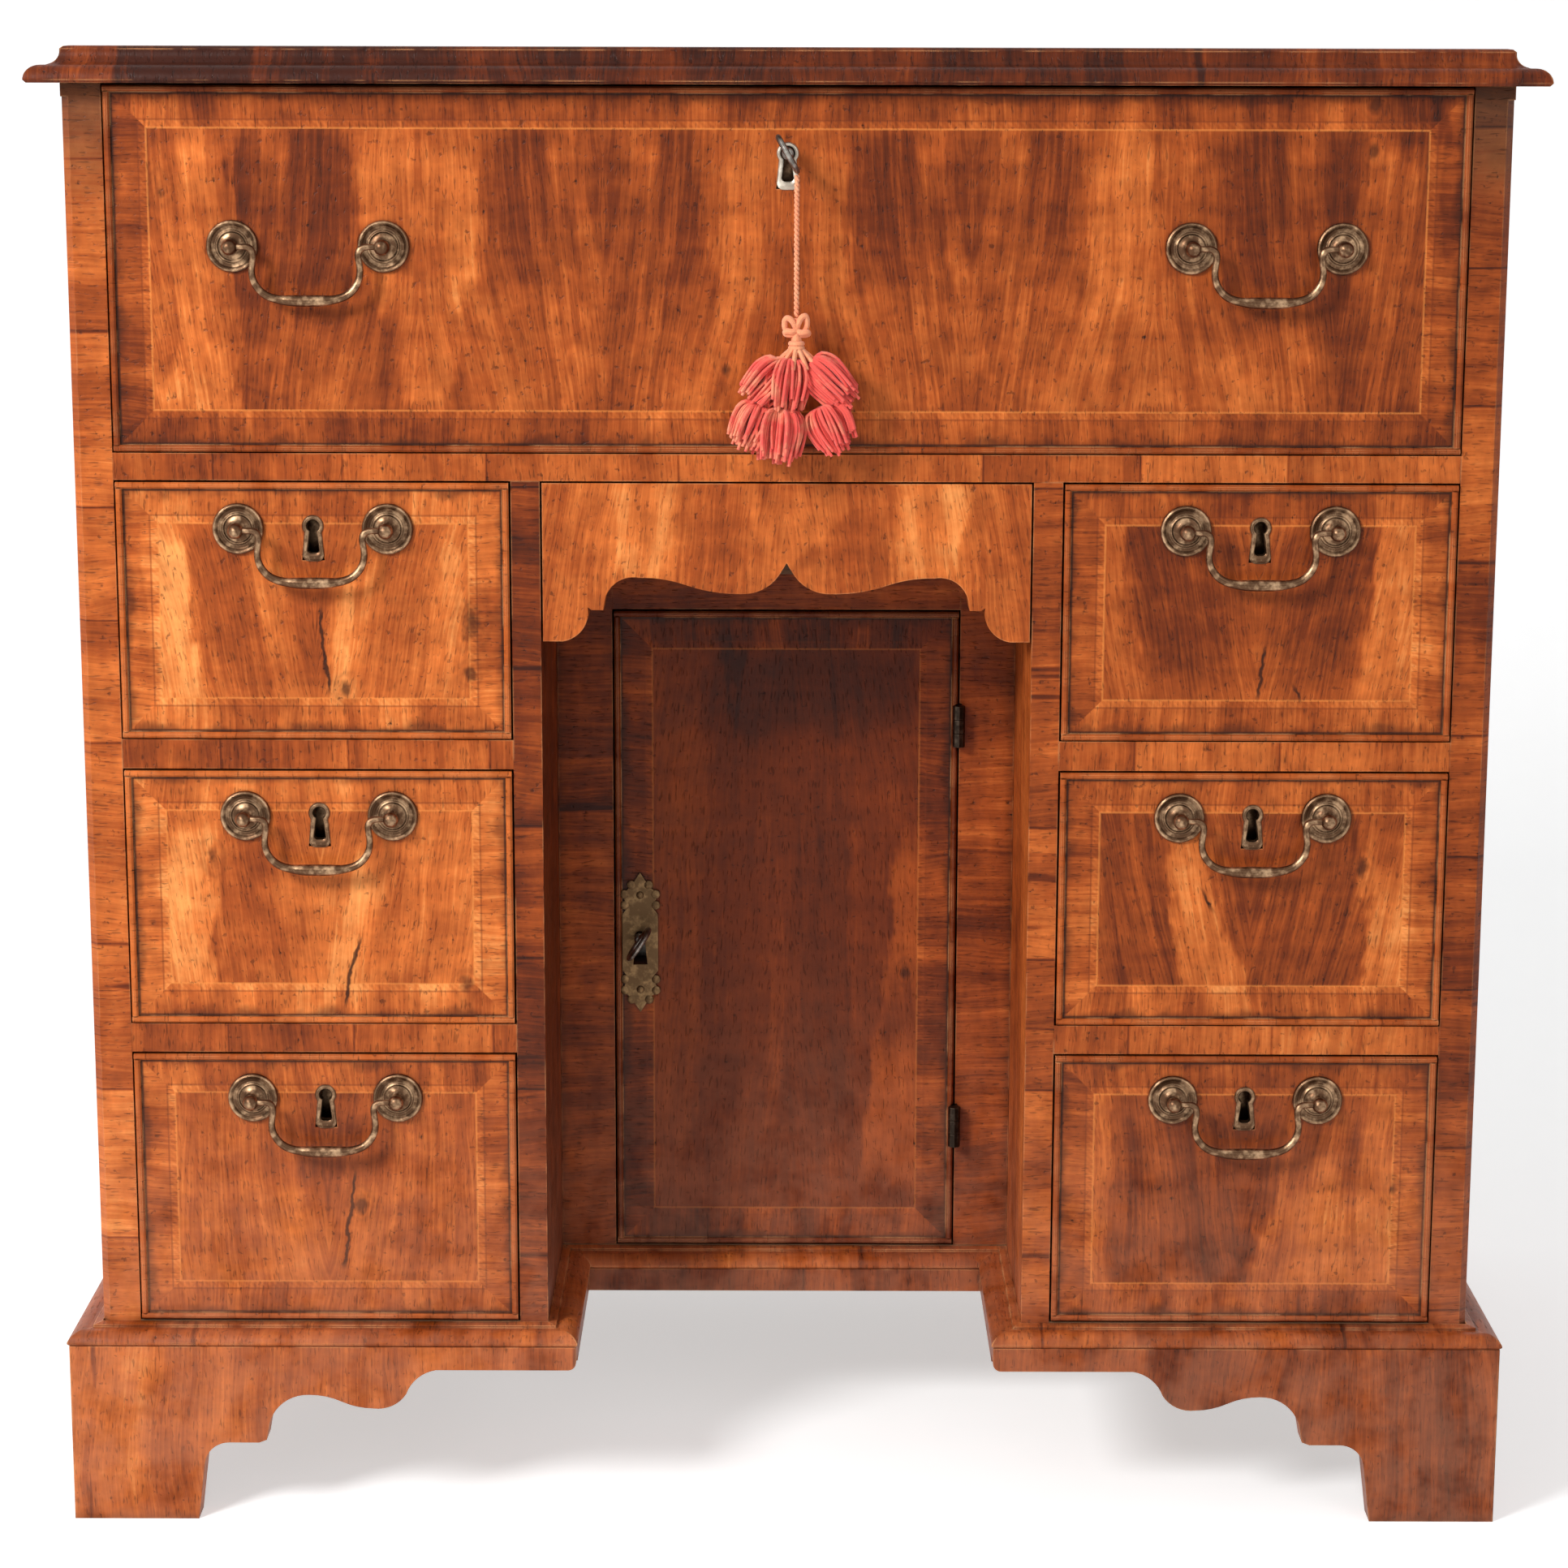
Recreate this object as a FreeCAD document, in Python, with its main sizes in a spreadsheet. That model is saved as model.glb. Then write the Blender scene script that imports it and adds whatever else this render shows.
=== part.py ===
import FreeCAD, Part
import Sketcher
import math
import os
from types import SimpleNamespace

# A kneehole desk with a recessed cupboard, in millimetres. X runs to the right, Y from the front
# to the back and Z up. Every piece is drawn with the front of the case at Y = 0. The Placement of
# its node then brings the middle of the desk over the origin, which lies on the floor.

doc = FreeCAD.newDocument("kneehole_desk")
sheet = doc.addObject("Spreadsheet::Sheet", "sizes")

DRIVING_SIZES = {
    # case
    "overall_height": 800, "case_width": 753, "case_depth": 460,
    "top_thickness": 19, "top_overhang": 16, "top_lip": 10,
    "side_thickness": 21, "chamfer_width": 4, "chamfer_stop": 7,
    "divider_thickness": 15.5, "kneehole_width": 261, "recess_depth": 134,
    "base_margin": 0.5, "bottom_thickness": 18,
    "back_thickness": 10, "back_rebate": 11,
    # drawer openings and the boards between them
    "rail_height": 14.5, "rail_depth": 60,
    "blade_height": 16, "blade_depth": 50, "dust_board_thickness": 10,
    "apron_drop": 85.5, "apron_thickness": 20, "apron_room": 43, "soffit_thickness": 9,
    # cupboard
    "frame_thickness": 25, "door_opening_width": 198, "door_rail_height": 36,
    "hinge_height": 24, "leaf_depth": 14, "leaf_thickness": 1.4, "knuckle_radius": 3.5,
    "pin_radius": 1.5, "upper_hinge_drop": 66, "lower_hinge_rise": 74,
    # base
    "plinth_height": 100, "plinth_projection": 16, "foot_run": 201, "band_corner": 4.5,
    "moulding_height": 9.5, "moulding_projection": 17, "rear_foot_run": 95, "block_width": 38,
    # drawers
    "front_thickness": 20, "front_gap": 1, "front_lift": 0.8, "run_gap": 0.3,
    "bead_width": 3.4, "bead_proud": 2, "bead_depth": 10,
    "drawer_back_gap": 20, "drawer_side": 8, "long_drawer_side": 10, "drawer_back": 8,
    "drawer_bottom": 6, "bottom_rebate": 4, "side_drop": 6,
    # handles
    "handle_spread": 79, "handle_drop": 25.5, "long_handle_drop": 83.5, "long_handle_offset": 250,
    "rose_radius": 13.5, "rose_thickness": 2.4, "rose_rim_width": 2.8, "rose_floor": 1.2,
    "post_neck": 2.2, "post_head": 4.2, "pivot_reach": 11, "post_tip": 15.2,
    "shank_width": 4.5, "nut_width": 11, "nut_thickness": 3,
    "pivot_radius": 1.5, "pivot_clearance": 0.05, "pivot_grip": 3.4,
    "bail_bow_radius": 2.2, "bail_neck_offset": 28, "bail_drop": 27.5,
    "bail_knee_bend": 5, "bail_bow_bend": 12,
    # locks and keys
    "keyhole_drop": 24, "long_keyhole_drop": 35, "keyhole_eye": 3.4, "keyhole_foot": 4.1,
    "keyhole_length": 16.5,
    "thread_width": 1.9, "thread_depth": 5, "thread_proud": 0.6,
    "lock_width": 56, "lock_height": 34, "lock_depth": 11, "lock_pit": 5, "lock_pit_width": 20,
    "lock_wall": 0.7, "bolt_width": 16, "bolt_thickness": 4, "bolt_length": 20, "bolt_throw": 8,
    "door_lock_edge": 10, "door_bevel": 2.5,
    "key_radius": 2.75, "key_bit": 8.6, "key_bit_thickness": 2, "key_bit_length": 4,
    "bow_radius": 11.5, "bow_eye": 7.5, "bow_thickness": 3.2, "bow_reach": 31.5,
    "plate_width": 20.6, "plate_length": 83, "plate_thickness": 1.5,
    "door_key_offset": 84, "door_key_drop": 2.5,
    # cord and tassel of the long drawer's key
    "cord_radius": 1.2, "cord_hang": 2.6, "cord_length": 72, "knot_radius": 6, "knot_length": 21,
    "tuft_length": 55, "tuft_radius": 12, "tuft_spacing": 24.6, "tuft_string": 1.2,
}

# Shapes given as shares of a size.
long_opening_share = 0.291698
upper_opening_share = 0.321016
middle_opening_share = 0.325635
tail_wide_share = 0.62
tail_narrow_share = 0.46
foot_curve_shares = [
    (0.341, 0.0),
    (0.361, 0.32),
    ((0.381, 0.405), (0.428, 0.445)),
    (0.512, 0.445),
    (0.533, 0.461),
    (0.541, 0.55),
    ((0.575, 0.667), (0.652, 0.723)),
    ((0.699, 0.713), (0.741, 0.684)),
    ((0.784, 0.655), (0.828, 0.645)),
    ((0.883, 0.665), (0.918, 0.730)),
    ((0.950, 0.822), (1.0, 0.868)),
]
band_floor_share = 0.868
apron_curve_shares = [
    (0.920, 0.0),
    ((0.847, 0.057), (0.815, 0.214)),
    (0.800, 0.197),
    (0.752, 0.197),
    (0.748, 0.232),
    ((0.713, 0.350), (0.606, 0.400)),
    ((0.506, 0.390), (0.420, 0.358)),
    ((0.300, 0.312), (0.176, 0.300)),
    ((0.077, 0.347), (0.027, 0.426)),
    (0.0, 0.493),
]
base_moulding_shares = [
    (0.0, 0.0),
    (0.91, 0.0),
    (1.0, 0.16),
    (1.0, 0.26),
    ((0.83, 0.63), (0.41, 0.76)),
    (0.27, 0.76),
    (0.27, 0.90),
    (0.0, 1.0),
]
top_moulding_shares = [
    (0.91, 0.0),
    (1.0, 0.08),
    ((0.86, 0.36), (0.40, 0.47)),
    (0.31, 0.50),
    ((0.07, 0.63), (-0.02, 0.87)),
    (-0.02, 0.91),
    (-0.12, 0.98),
    (-0.29, 1.0),
]
plate_curve_shares = [
    (0.30, 0.88),
    (0.60, 0.78),
    (0.92, 0.71),
    (0.90, 0.62),
    (0.70, 0.50),
    (1.0, 0.40),
]
skirt_share = 0.48
cap_share = 0.94
lock_skirt_share = 0.42
knuckle_root_share = 0.6
bead_ease_share = 0.3
post_cheek_share = 0.42
rear_foot_shares = [(0.55, 0.0), (0.55, 0.25), ((0.68, 0.66), (1.0, 0.86))]
eye_opening = 40
eye_steps = 5
bail_knee_steps = 2
bail_bow_steps = 2
bail_sides = 6
rose_sides = 12
post_sides = 6
knuckle_sides = 8
bow_sides = 12
tuft_sides = 10
key_tilt = -30
door_key_tilt = 35
lock_turn = -90
string_splay = 66


class Size:
    """A length that carries its formula, so one line gives the value and drives the document."""

    def __init__(self, value, text):
        self.value = float(value)
        self.text = text

    def __add__(self, other):
        other = as_size(other)
        return Size(self.value + other.value, f"({self.text} + {other.text})")

    def __sub__(self, other):
        other = as_size(other)
        return Size(self.value - other.value, f"({self.text} - {other.text})")

    def __neg__(self):
        return Size(-self.value, f"(-1 * {self.text})")

    def __mul__(self, factor):
        return Size(self.value * factor, f"({self.text} * {factor:.6f})")

    def __truediv__(self, divisor):
        return Size(self.value / divisor, f"({self.text} / {divisor})")


def as_size(length):
    return length if isinstance(length, Size) else Size(length, str(length))


def fill_sheet():
    for row, (alias, value) in enumerate(DRIVING_SIZES.items(), start=1):
        sheet.set(f"A{row}", alias.replace("_", " "))
        sheet.set(f"B{row}", str(value))
        sheet.setAlias(f"B{row}", alias)
    doc.recompute()
    named = {alias: Size(value, f"sizes.{alias}") for alias, value in DRIVING_SIZES.items()}
    return SimpleNamespace(**named)


dims = fill_sheet()

# Levels and lines that many pieces share.
half_width = dims.case_width / 2
case_top = dims.overall_height - dims.top_thickness
base_height = dims.plinth_height + dims.moulding_height + dims.base_margin
long_floor = case_top - (case_top - base_height - dims.rail_height) * long_opening_share
rail_floor = long_floor - dims.rail_height
column_room = rail_floor - base_height - dims.blade_height * 2
upper_floor = rail_floor - column_room * upper_opening_share
middle_roof = upper_floor - dims.blade_height
middle_floor = middle_roof - column_room * middle_opening_share
lower_roof = middle_floor - dims.blade_height
case_floor = base_height - dims.bottom_thickness
back_face = dims.case_depth - dims.back_thickness
drawer_reach = back_face - dims.drawer_back_gap
side_inner = half_width - dims.side_thickness
knee = dims.kneehole_width / 2
divider_outer = knee + dims.divider_thickness
column_centre = (side_inner + divider_outer) / 2
column_half = (side_inner - divider_outer) / 2
band_floor = dims.plinth_height * band_floor_share
soffit_top = rail_floor - dims.apron_room
soffit_floor = soffit_top - dims.soffit_thickness
door_half = dims.door_opening_width / 2
door_roof = soffit_floor - dims.door_rail_height
door_key_level = (base_height + door_roof) / 2 - dims.door_key_drop
long_keyhole_level = case_top - dims.long_keyhole_drop
front_shift = (dims.bow_reach - dims.case_depth) / 2
zero = as_size(0)
x_axis = FreeCAD.Vector(1, 0, 0)
y_axis = FreeCAD.Vector(0, 1, 0)
z_axis = FreeCAD.Vector(0, 0, 1)


def bind(piece, sizes_by_property):
    for property_name, length in sizes_by_property.items():
        piece.setExpression(property_name, as_size(length).text)


def place(piece, x, y, z):
    bind(piece, {"Placement.Base.x": x, "Placement.Base.y": y, "Placement.Base.z": z})
    return piece


def board(name, x_range, y_range, z_range):
    box = doc.addObject("Part::Box", name)
    bind(box, {
        "Length": x_range[1] - x_range[0],
        "Width": y_range[1] - y_range[0],
        "Height": z_range[1] - z_range[0],
    })
    return place(box, x_range[0], y_range[0], z_range[0])


def span(half):
    return (-half, half)


def cut(name, base, tools):
    """The base piece less the tools, which keep their own places."""
    tool = tools[0]
    if len(tools) > 1:
        tool = doc.addObject("Part::Compound", f"{name}_tools")
        tool.Links = tools
    piece = doc.addObject("Part::Cut", name)
    piece.Base = base
    piece.Tool = tool
    return piece


def fuse(name, pieces):
    piece = doc.addObject("Part::MultiFuse", name)
    piece.Shapes = pieces
    return piece


def mirrored(name, source, plane_x=zero):
    piece = doc.addObject("Part::Mirroring", name)
    piece.Source = source
    piece.Normal = x_axis
    bind(piece, {"Base.x": plane_x})
    return piece


def copy_of(source, name, x, y, z, turn=0):
    """A further copy of a piece, turned about the line that runs from front to back."""
    piece = doc.addObject("App::Link", name)
    piece.LinkedObject = source
    piece.Placement = FreeCAD.Placement(FreeCAD.Vector(), FreeCAD.Rotation(y_axis, turn))
    return place(piece, x, y, z)


# Outlines. An item (u, v) is a straight run to that point, and a pair of points is an arc through
# the first of them to the second.
def is_arc(item):
    return isinstance(item[0], tuple)


def corner_of(item):
    return item[1] if is_arc(item) else item


def moved(path, rule):
    """The path with each point put through a rule that takes and gives two values."""
    return [tuple(rule(*point) for point in item) if is_arc(item) else rule(*item) for item in path]


def backwards(path):
    result = [corner_of(path[-1])]
    for number in range(len(path) - 1, 0, -1):
        target = corner_of(path[number - 1])
        result.append((path[number][0], target) if is_arc(path[number]) else target)
    return result


def rectangle(u_range, v_range):
    (left, right), (low, high) = u_range, v_range
    return [(left, low), (right, low), (right, high), (left, high)]


def as_vector(point):
    return FreeCAD.Vector(as_size(point[0]).value, as_size(point[1]).value, 0)


def pin_point(sketch, index, position, point):
    """Hold a point of the sketch at named distances from the sketch's origin."""
    for kind, axis, length in (("DistanceX", -2, as_size(point[0])), ("DistanceY", -1, as_size(point[1]))):
        if length.value == 0:
            sketch.addConstraint(Sketcher.Constraint("PointOnObject", index, position, axis))
            continue
        number = sketch.addConstraint(Sketcher.Constraint(kind, -1, 1, index, position, length.value))
        sketch.setExpression(f"Constraints[{number}]", length.text)


def draw(sketch, path, closed=True):
    corners = [corner_of(item) for item in path]
    runs = path[1:]
    if closed:
        runs = path[1:] + path[:1]
    edges = []
    for number, item in enumerate(runs):
        start = as_vector(corners[number])
        end = as_vector(corners[(number + 1) % len(corners)])
        if is_arc(item):
            middle = as_vector(item[0])
            index = sketch.addGeometry(Part.Arc(start, middle, end))
            turns_left = (middle - start).cross(end - start).z > 0
            edges.append((index, 1, 2) if turns_left else (index, 2, 1))
            mark = sketch.addGeometry(Part.Point(middle), True)
            sketch.addConstraint(Sketcher.Constraint("PointOnObject", mark, 1, index))
            pin_point(sketch, mark, 1, item[0])
        else:
            index = sketch.addGeometry(Part.LineSegment(start, end))
            edges.append((index, 1, 2))
    joints = list(zip(edges, edges[1:] + edges[:1])) if closed else list(zip(edges, edges[1:]))
    for (index, _, last), (following, first, _) in joints:
        sketch.addConstraint(Sketcher.Constraint("Coincident", index, last, following, first))
    for (index, first, _), corner in zip(edges, corners):
        pin_point(sketch, index, first, corner)
    if not closed:
        index, _, last = edges[-1]
        pin_point(sketch, index, last, corners[-1])


# A view names the plane that an outline lies in, and how that plane's normal points along its axis.
VIEWS = {"front": ("XZ_Plane", -1), "side": ("YZ_Plane", 1), "plan": ("XY_Plane", 1)}
pockets = []


def origin_of(body, role):
    return next(item for item in body.Origin.OriginFeatures if item.Role == role)


def new_body(name):
    return doc.addObject("PartDesign::Body", name)


def sketch_on(body, view, paths, start=zero):
    plane, sign = VIEWS[view]
    sketch = body.newObject("Sketcher::SketchObject", "Outline")
    sketch.AttachmentSupport = [(origin_of(body, plane), "")]
    sketch.MapMode = "FlatFace"
    bind(sketch, {"AttachmentOffset.Base.z": start * sign})
    for path in paths:
        draw(sketch, path)
    return sketch


def pad(body, view, paths, start, length):
    feature = body.newObject("PartDesign::Pad", "Pad")
    feature.Profile = sketch_on(body, view, paths, start)
    feature.Reversed = VIEWS[view][1] < 0
    bind(feature, {"Length": length})
    return feature


def pocket(body, view, paths, start, length):
    feature = body.newObject("PartDesign::Pocket", "Pocket")
    feature.Profile = sketch_on(body, view, paths, start)
    feature.Reversed = VIEWS[view][1] > 0
    bind(feature, {"Length": length})
    pockets.append(feature)
    return feature


def along_view(body, kind, view, start, length, turn=0):
    """A primitive added to or taken from a body. It runs along the axis of the view, turned about it."""
    plane, sign = VIEWS[view]
    feature = body.newObject(f"PartDesign::{kind}", kind)
    feature.AttachmentSupport = [(origin_of(body, plane), "")]
    feature.MapMode = "FlatFace"
    feature.AttachmentOffset = FreeCAD.Placement(FreeCAD.Vector(), FreeCAD.Rotation(z_axis, turn))
    near_end = start if sign > 0 else -start - length
    bind(feature, {"Height": length, "AttachmentOffset.Base.z": near_end})
    return feature


def many_sided(body, kind, view, sides, radius, start, length, turn=0):
    feature = along_view(body, f"{kind}Prism", view, start, length, turn)
    feature.Polygon = sides
    bind(feature, {"Circumradius": radius})
    return feature


def round_part(body, kind, view, radius, start, length):
    feature = along_view(body, f"{kind}Cylinder", view, start, length)
    bind(feature, {"Radius": radius})
    return feature


def place_offset(feature, u, v):
    bind(feature, {"AttachmentOffset.Base.x": u, "AttachmentOffset.Base.y": v})


def chamfer_end(body, feature, direction, width):
    """Chamfer the edges of the face that lies furthest along a direction."""
    doc.recompute()
    faces = feature.Shape.Faces
    furthest = max(range(len(faces)), key=lambda number: faces[number].CenterOfMass.dot(direction))
    chamfer = body.newObject("PartDesign::Chamfer", "Chamfer")
    chamfer.Base = (feature, [f"Face{furthest + 1}"])
    bind(chamfer, {"Size": width})
    return chamfer


def prism(name, view, path, start, length):
    body = new_body(name)
    pad(body, view, [path], start, length)
    return body


def upward_pattern(body, pitch, count):
    pattern = body.newObject("PartDesign::LinearPattern", "Pattern")
    pattern.Direction = (origin_of(body, "Z_Axis"), [""])
    pattern.Occurrences = count
    bind(pattern, {"Length": pitch * (count - 1)})
    return pattern


def repeat_upward(body, feature, pitch, count):
    pattern = upward_pattern(body, pitch, count)
    pattern.Originals = [feature]
    body.Tip = pattern


def repeat_at_both_ends(body, feature, pitch, count):
    """Repeat a socket up one end of a board and, mirrored, up its other end."""
    both = body.newObject("PartDesign::MultiTransform", "Sockets")
    both.Originals = [feature]
    pattern = upward_pattern(body, pitch, count)
    mirror = body.newObject("PartDesign::Mirrored", "OtherEnd")
    mirror.MirrorPlane = (origin_of(body, "YZ_Plane"), [""])
    both.Transformations = [pattern, mirror]
    body.Tip = both


nodes = []


def node(name, pieces):
    """One node of the desk: its pieces stay separate solids."""
    group = doc.addObject("Part::Compound", name)
    group.Links = pieces
    group.Label = name
    bind(group, {"Placement.Base.y": front_shift})
    nodes.append(group)
    return group


def mirrored_node(name, source):
    piece = mirrored(name, source)
    piece.Label = name
    nodes.append(piece)
    return piece


# Mouldings and brackets meet at mitres.
def mitre(body, corner, outward, past):
    """Cut an end along the diagonal of a corner. past says which way the waste lies from it."""
    reach = dims.moulding_projection + dims.top_lip
    inner = (corner[0] - reach * outward[0], corner[1] - reach * outward[1])
    outer = (corner[0] + reach * outward[0], corner[1] + reach * outward[1])
    waste = (outer[0], inner[1]) if past == "x" else (inner[0], outer[1])
    pocket(body, "plan", [[inner, outer, waste]], zero, dims.overall_height + dims.top_thickness)


outer_corner = (-half_width, zero)
knee_corner = (-knee, zero)
recess_corner = (-knee, dims.recess_depth)


def scaled(path, across, up):
    return moved(path, lambda u_share, v_share: (across * u_share, up * v_share))


def top_moulding():
    profile = scaled(top_moulding_shares, dims.top_overhang, dims.top_thickness)
    profile = [(-dims.top_lip, zero)] + profile + [(-dims.top_lip, dims.top_thickness)]
    reach = half_width + dims.top_overhang
    front = prism("top_moulding_front", "side", moved(profile, lambda out, up: (-out, case_top + up)),
                  -reach, reach * 2)
    mitre(front, outer_corner, (-1, -1), "x")
    mitre(front, (half_width, zero), (1, -1), "x")
    left_path = moved(profile, lambda out, up: (-half_width - out, case_top + up))
    depth = dims.case_depth + dims.top_overhang
    left = prism("top_moulding_left", "front", left_path, -dims.top_overhang, depth)
    mitre(left, outer_corner, (-1, -1), "y")
    return [front, left, mirrored("top_moulding_right", left)]


def base_moulding():
    profile = scaled(base_moulding_shares, dims.moulding_projection, dims.moulding_height)
    rise = dims.plinth_height
    out = dims.moulding_projection
    front = prism("base_moulding_front", "side", moved(profile, lambda p, up: (-p, rise + up)),
                  -half_width - out, half_width - knee + out * 2)
    mitre(front, outer_corner, (-1, -1), "x")
    mitre(front, knee_corner, (1, -1), "x")
    left = prism("base_moulding_left", "front", moved(profile, lambda p, up: (-half_width - p, rise + up)),
                 -out, dims.case_depth + out)
    mitre(left, outer_corner, (-1, -1), "y")
    inside = prism("base_moulding_kneehole", "front", moved(profile, lambda p, up: (p - knee, rise + up)),
                   -out, dims.recess_depth + out)
    mitre(inside, knee_corner, (1, -1), "y")
    mitre(inside, recess_corner, (1, -1), "x")
    recess_path = moved(profile, lambda p, up: (dims.recess_depth - p, rise + up))
    recess = prism("base_moulding_recess", "side", recess_path, -knee, knee * 2)
    mitre(recess, recess_corner, (1, -1), "y")
    mitre(recess, (knee, dims.recess_depth), (-1, -1), "y")
    lengths = [front, left, inside]
    return lengths + [mirrored(f"{length.Name}_mirrored", length) for length in lengths] + [recess]


def foot_curve(corner, direction):
    run = dims.foot_run * direction
    return moved(foot_curve_shares, lambda along, up: (corner + run * along, dims.plinth_height * up))


def front_bracket():
    outer = -half_width - dims.plinth_projection
    inner = -knee + dims.plinth_projection
    bend = dims.band_corner
    nip = bend * (1 - math.sqrt(0.5))
    path = [(outer, zero)] + foot_curve(outer, 1)
    path += [(inner - bend, band_floor), ((inner - nip, band_floor + nip), (inner, band_floor + bend))]
    path += [(inner, dims.plinth_height), (outer, dims.plinth_height)]
    bracket = prism("front_bracket_left", "front", path, -dims.plinth_projection, dims.plinth_projection)
    mitre(bracket, outer_corner, (-1, -1), "x")
    return bracket


def side_bracket():
    front_end = -dims.plinth_projection
    path = [(front_end, zero)] + foot_curve(front_end, 1) + backwards(foot_curve(dims.case_depth, -1))
    path += [(dims.case_depth, zero), (dims.case_depth, dims.plinth_height), (front_end, dims.plinth_height)]
    outer = -half_width - dims.plinth_projection
    bracket = prism("side_bracket_left", "side", path, outer, dims.plinth_projection)
    mitre(bracket, outer_corner, (-1, -1), "y")
    return bracket


def rear_foot():
    run = dims.rear_foot_run
    path = [(-half_width, zero)]
    path += moved(rear_foot_shares, lambda along, up: (run * along - half_width, case_floor * up))
    path += [(run - half_width, case_floor), (-half_width, case_floor)]
    thickness = dims.plinth_projection
    return prism("rear_foot_left", "front", path, dims.case_depth - thickness, thickness)


def with_mirror(piece):
    return [piece, mirrored(f"{piece.Name}_mirrored", piece)]


def side_panel():
    """Outer side with a stopped chamfer on its front corner and a rebate for the back planks."""
    panel = prism("side_panel", "plan", rectangle((-half_width, -side_inner), (zero, dims.case_depth)),
                  case_floor, case_top - case_floor)
    width = dims.chamfer_width
    chamfer = [(-half_width, zero), (-half_width + width, zero), (-half_width, width)]
    pocket(panel, "plan", [chamfer], case_floor, case_top - case_floor - dims.chamfer_stop)
    rebate = rectangle((-side_inner - dims.back_rebate, -side_inner), (back_face, dims.case_depth))
    pocket(panel, "plan", [rebate], case_floor, case_top - case_floor)
    return panel


def back_planks():
    count = 4
    plank = (case_top - case_floor) / count
    reach = side_inner + dims.back_rebate
    return [
        board(f"back_plank_{number}", span(reach), (back_face, dims.case_depth),
              (case_floor + plank * number, case_floor + plank * (number + 1)))
        for number in range(count)
    ]


def column_boards(name, depth_range, roof_heights, thickness):
    """Left-hand boards of a column at several levels, and their mirror images."""
    left = [
        board(f"{name}_{number}", (-side_inner, -divider_outer), depth_range, (top - thickness, top))
        for number, top in enumerate(roof_heights)
    ]
    return left + [mirrored(f"{piece.Name}_mirrored", piece) for piece in left]


def build_case():
    top = board("top_core", span(half_width - dims.top_lip), (dims.top_lip, dims.case_depth),
                (case_top, dims.overall_height))
    bolt_front = dims.front_thickness + dims.lock_pit + dims.lock_wall
    mortise = board("bolt_mortise", span(dims.bolt_width / 2 + dims.front_gap),
                    (bolt_front - dims.front_gap, bolt_front + dims.bolt_thickness + dims.front_gap),
                    (case_top, case_top + dims.bolt_throw + dims.front_gap))
    node("top_board", [cut("top_with_mortise", top, [mortise])])
    node("top_edge_moulding", top_moulding())
    left_side = node("left_side_panel", [side_panel()])
    mirrored_node("right_side_panel", left_side)
    node("back_boards", back_planks())
    divider = board("divider_left", (-divider_outer, -knee), (zero, back_face), (case_floor, rail_floor))
    node("kneehole_sides", with_mirror(divider))
    node("long_drawer_rail", [
        board("long_rail", span(side_inner), (zero, dims.rail_depth), (rail_floor, long_floor)),
        board("long_dust_board", span(side_inner), (dims.rail_depth, back_face), (rail_floor, long_floor)),
    ])
    levels = [upper_floor, middle_floor]
    node("drawer_blades", column_boards("blade", (zero, dims.blade_depth), levels, dims.blade_height))
    behind = (dims.blade_depth, back_face)
    node("dust_boards", column_boards("dust_board", behind, levels, dims.dust_board_thickness))
    bottoms = column_boards("bottom", (zero, back_face), [base_height], dims.bottom_thickness)
    cupboard_depth = (dims.recess_depth, back_face)
    bottoms.append(board("cupboard_bottom", span(knee), cupboard_depth, (case_floor, base_height)))
    node("bottom_boards", bottoms)
    soffit_depth = (dims.apron_thickness + dims.front_gap, back_face)
    node("kneehole_soffit", [board("soffit", span(knee), soffit_depth, (soffit_floor, soffit_top))])
    node("base_moulding", base_moulding())
    node("front_bracket_feet", with_mirror(front_bracket()))
    node("side_bracket_feet", with_mirror(side_bracket()))
    node("rear_bracket_feet", with_mirror(rear_foot()))
    block_x = (-half_width, -half_width + dims.block_width)
    rear_end = dims.case_depth - dims.plinth_projection
    block_z = (zero, case_floor)
    front_block = board("front_block_left", block_x, (zero, dims.block_width), block_z)
    rear_block = board("rear_block_left", block_x, (rear_end - dims.block_width, rear_end), block_z)
    node("foot_blocks", with_mirror(front_block) + with_mirror(rear_block))
    out = dims.plinth_projection
    band_z = (band_floor, dims.plinth_height)
    inside = board("kneehole_band_left", (-knee, -knee + out), (zero, dims.recess_depth), band_z)
    across = board("recess_band", span(knee - out), (dims.recess_depth - out, dims.recess_depth), band_z)
    node("kneehole_plinth", with_mirror(inside) + [across])


# Brass and iron fittings, drawn once round their own origin and then copied to each drawer.
def square(width):
    return rectangle(span(width / 2), span(width / 2))


def make_rose():
    """Round back plate with a raised rim and a sunk middle, holed for the post's shank."""
    body = new_body("rose")
    face = -dims.rose_thickness
    sunk_radius = dims.rose_radius - dims.rose_rim_width
    many_sided(body, "Additive", "front", rose_sides, dims.rose_radius, face, dims.rose_thickness)
    sunk_depth = dims.rose_thickness - dims.rose_floor
    many_sided(body, "Subtractive", "front", rose_sides, sunk_radius, face, sunk_depth)
    pocket(body, "front", [square(dims.shank_width)], -dims.rose_floor, dims.rose_floor)
    return body


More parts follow.
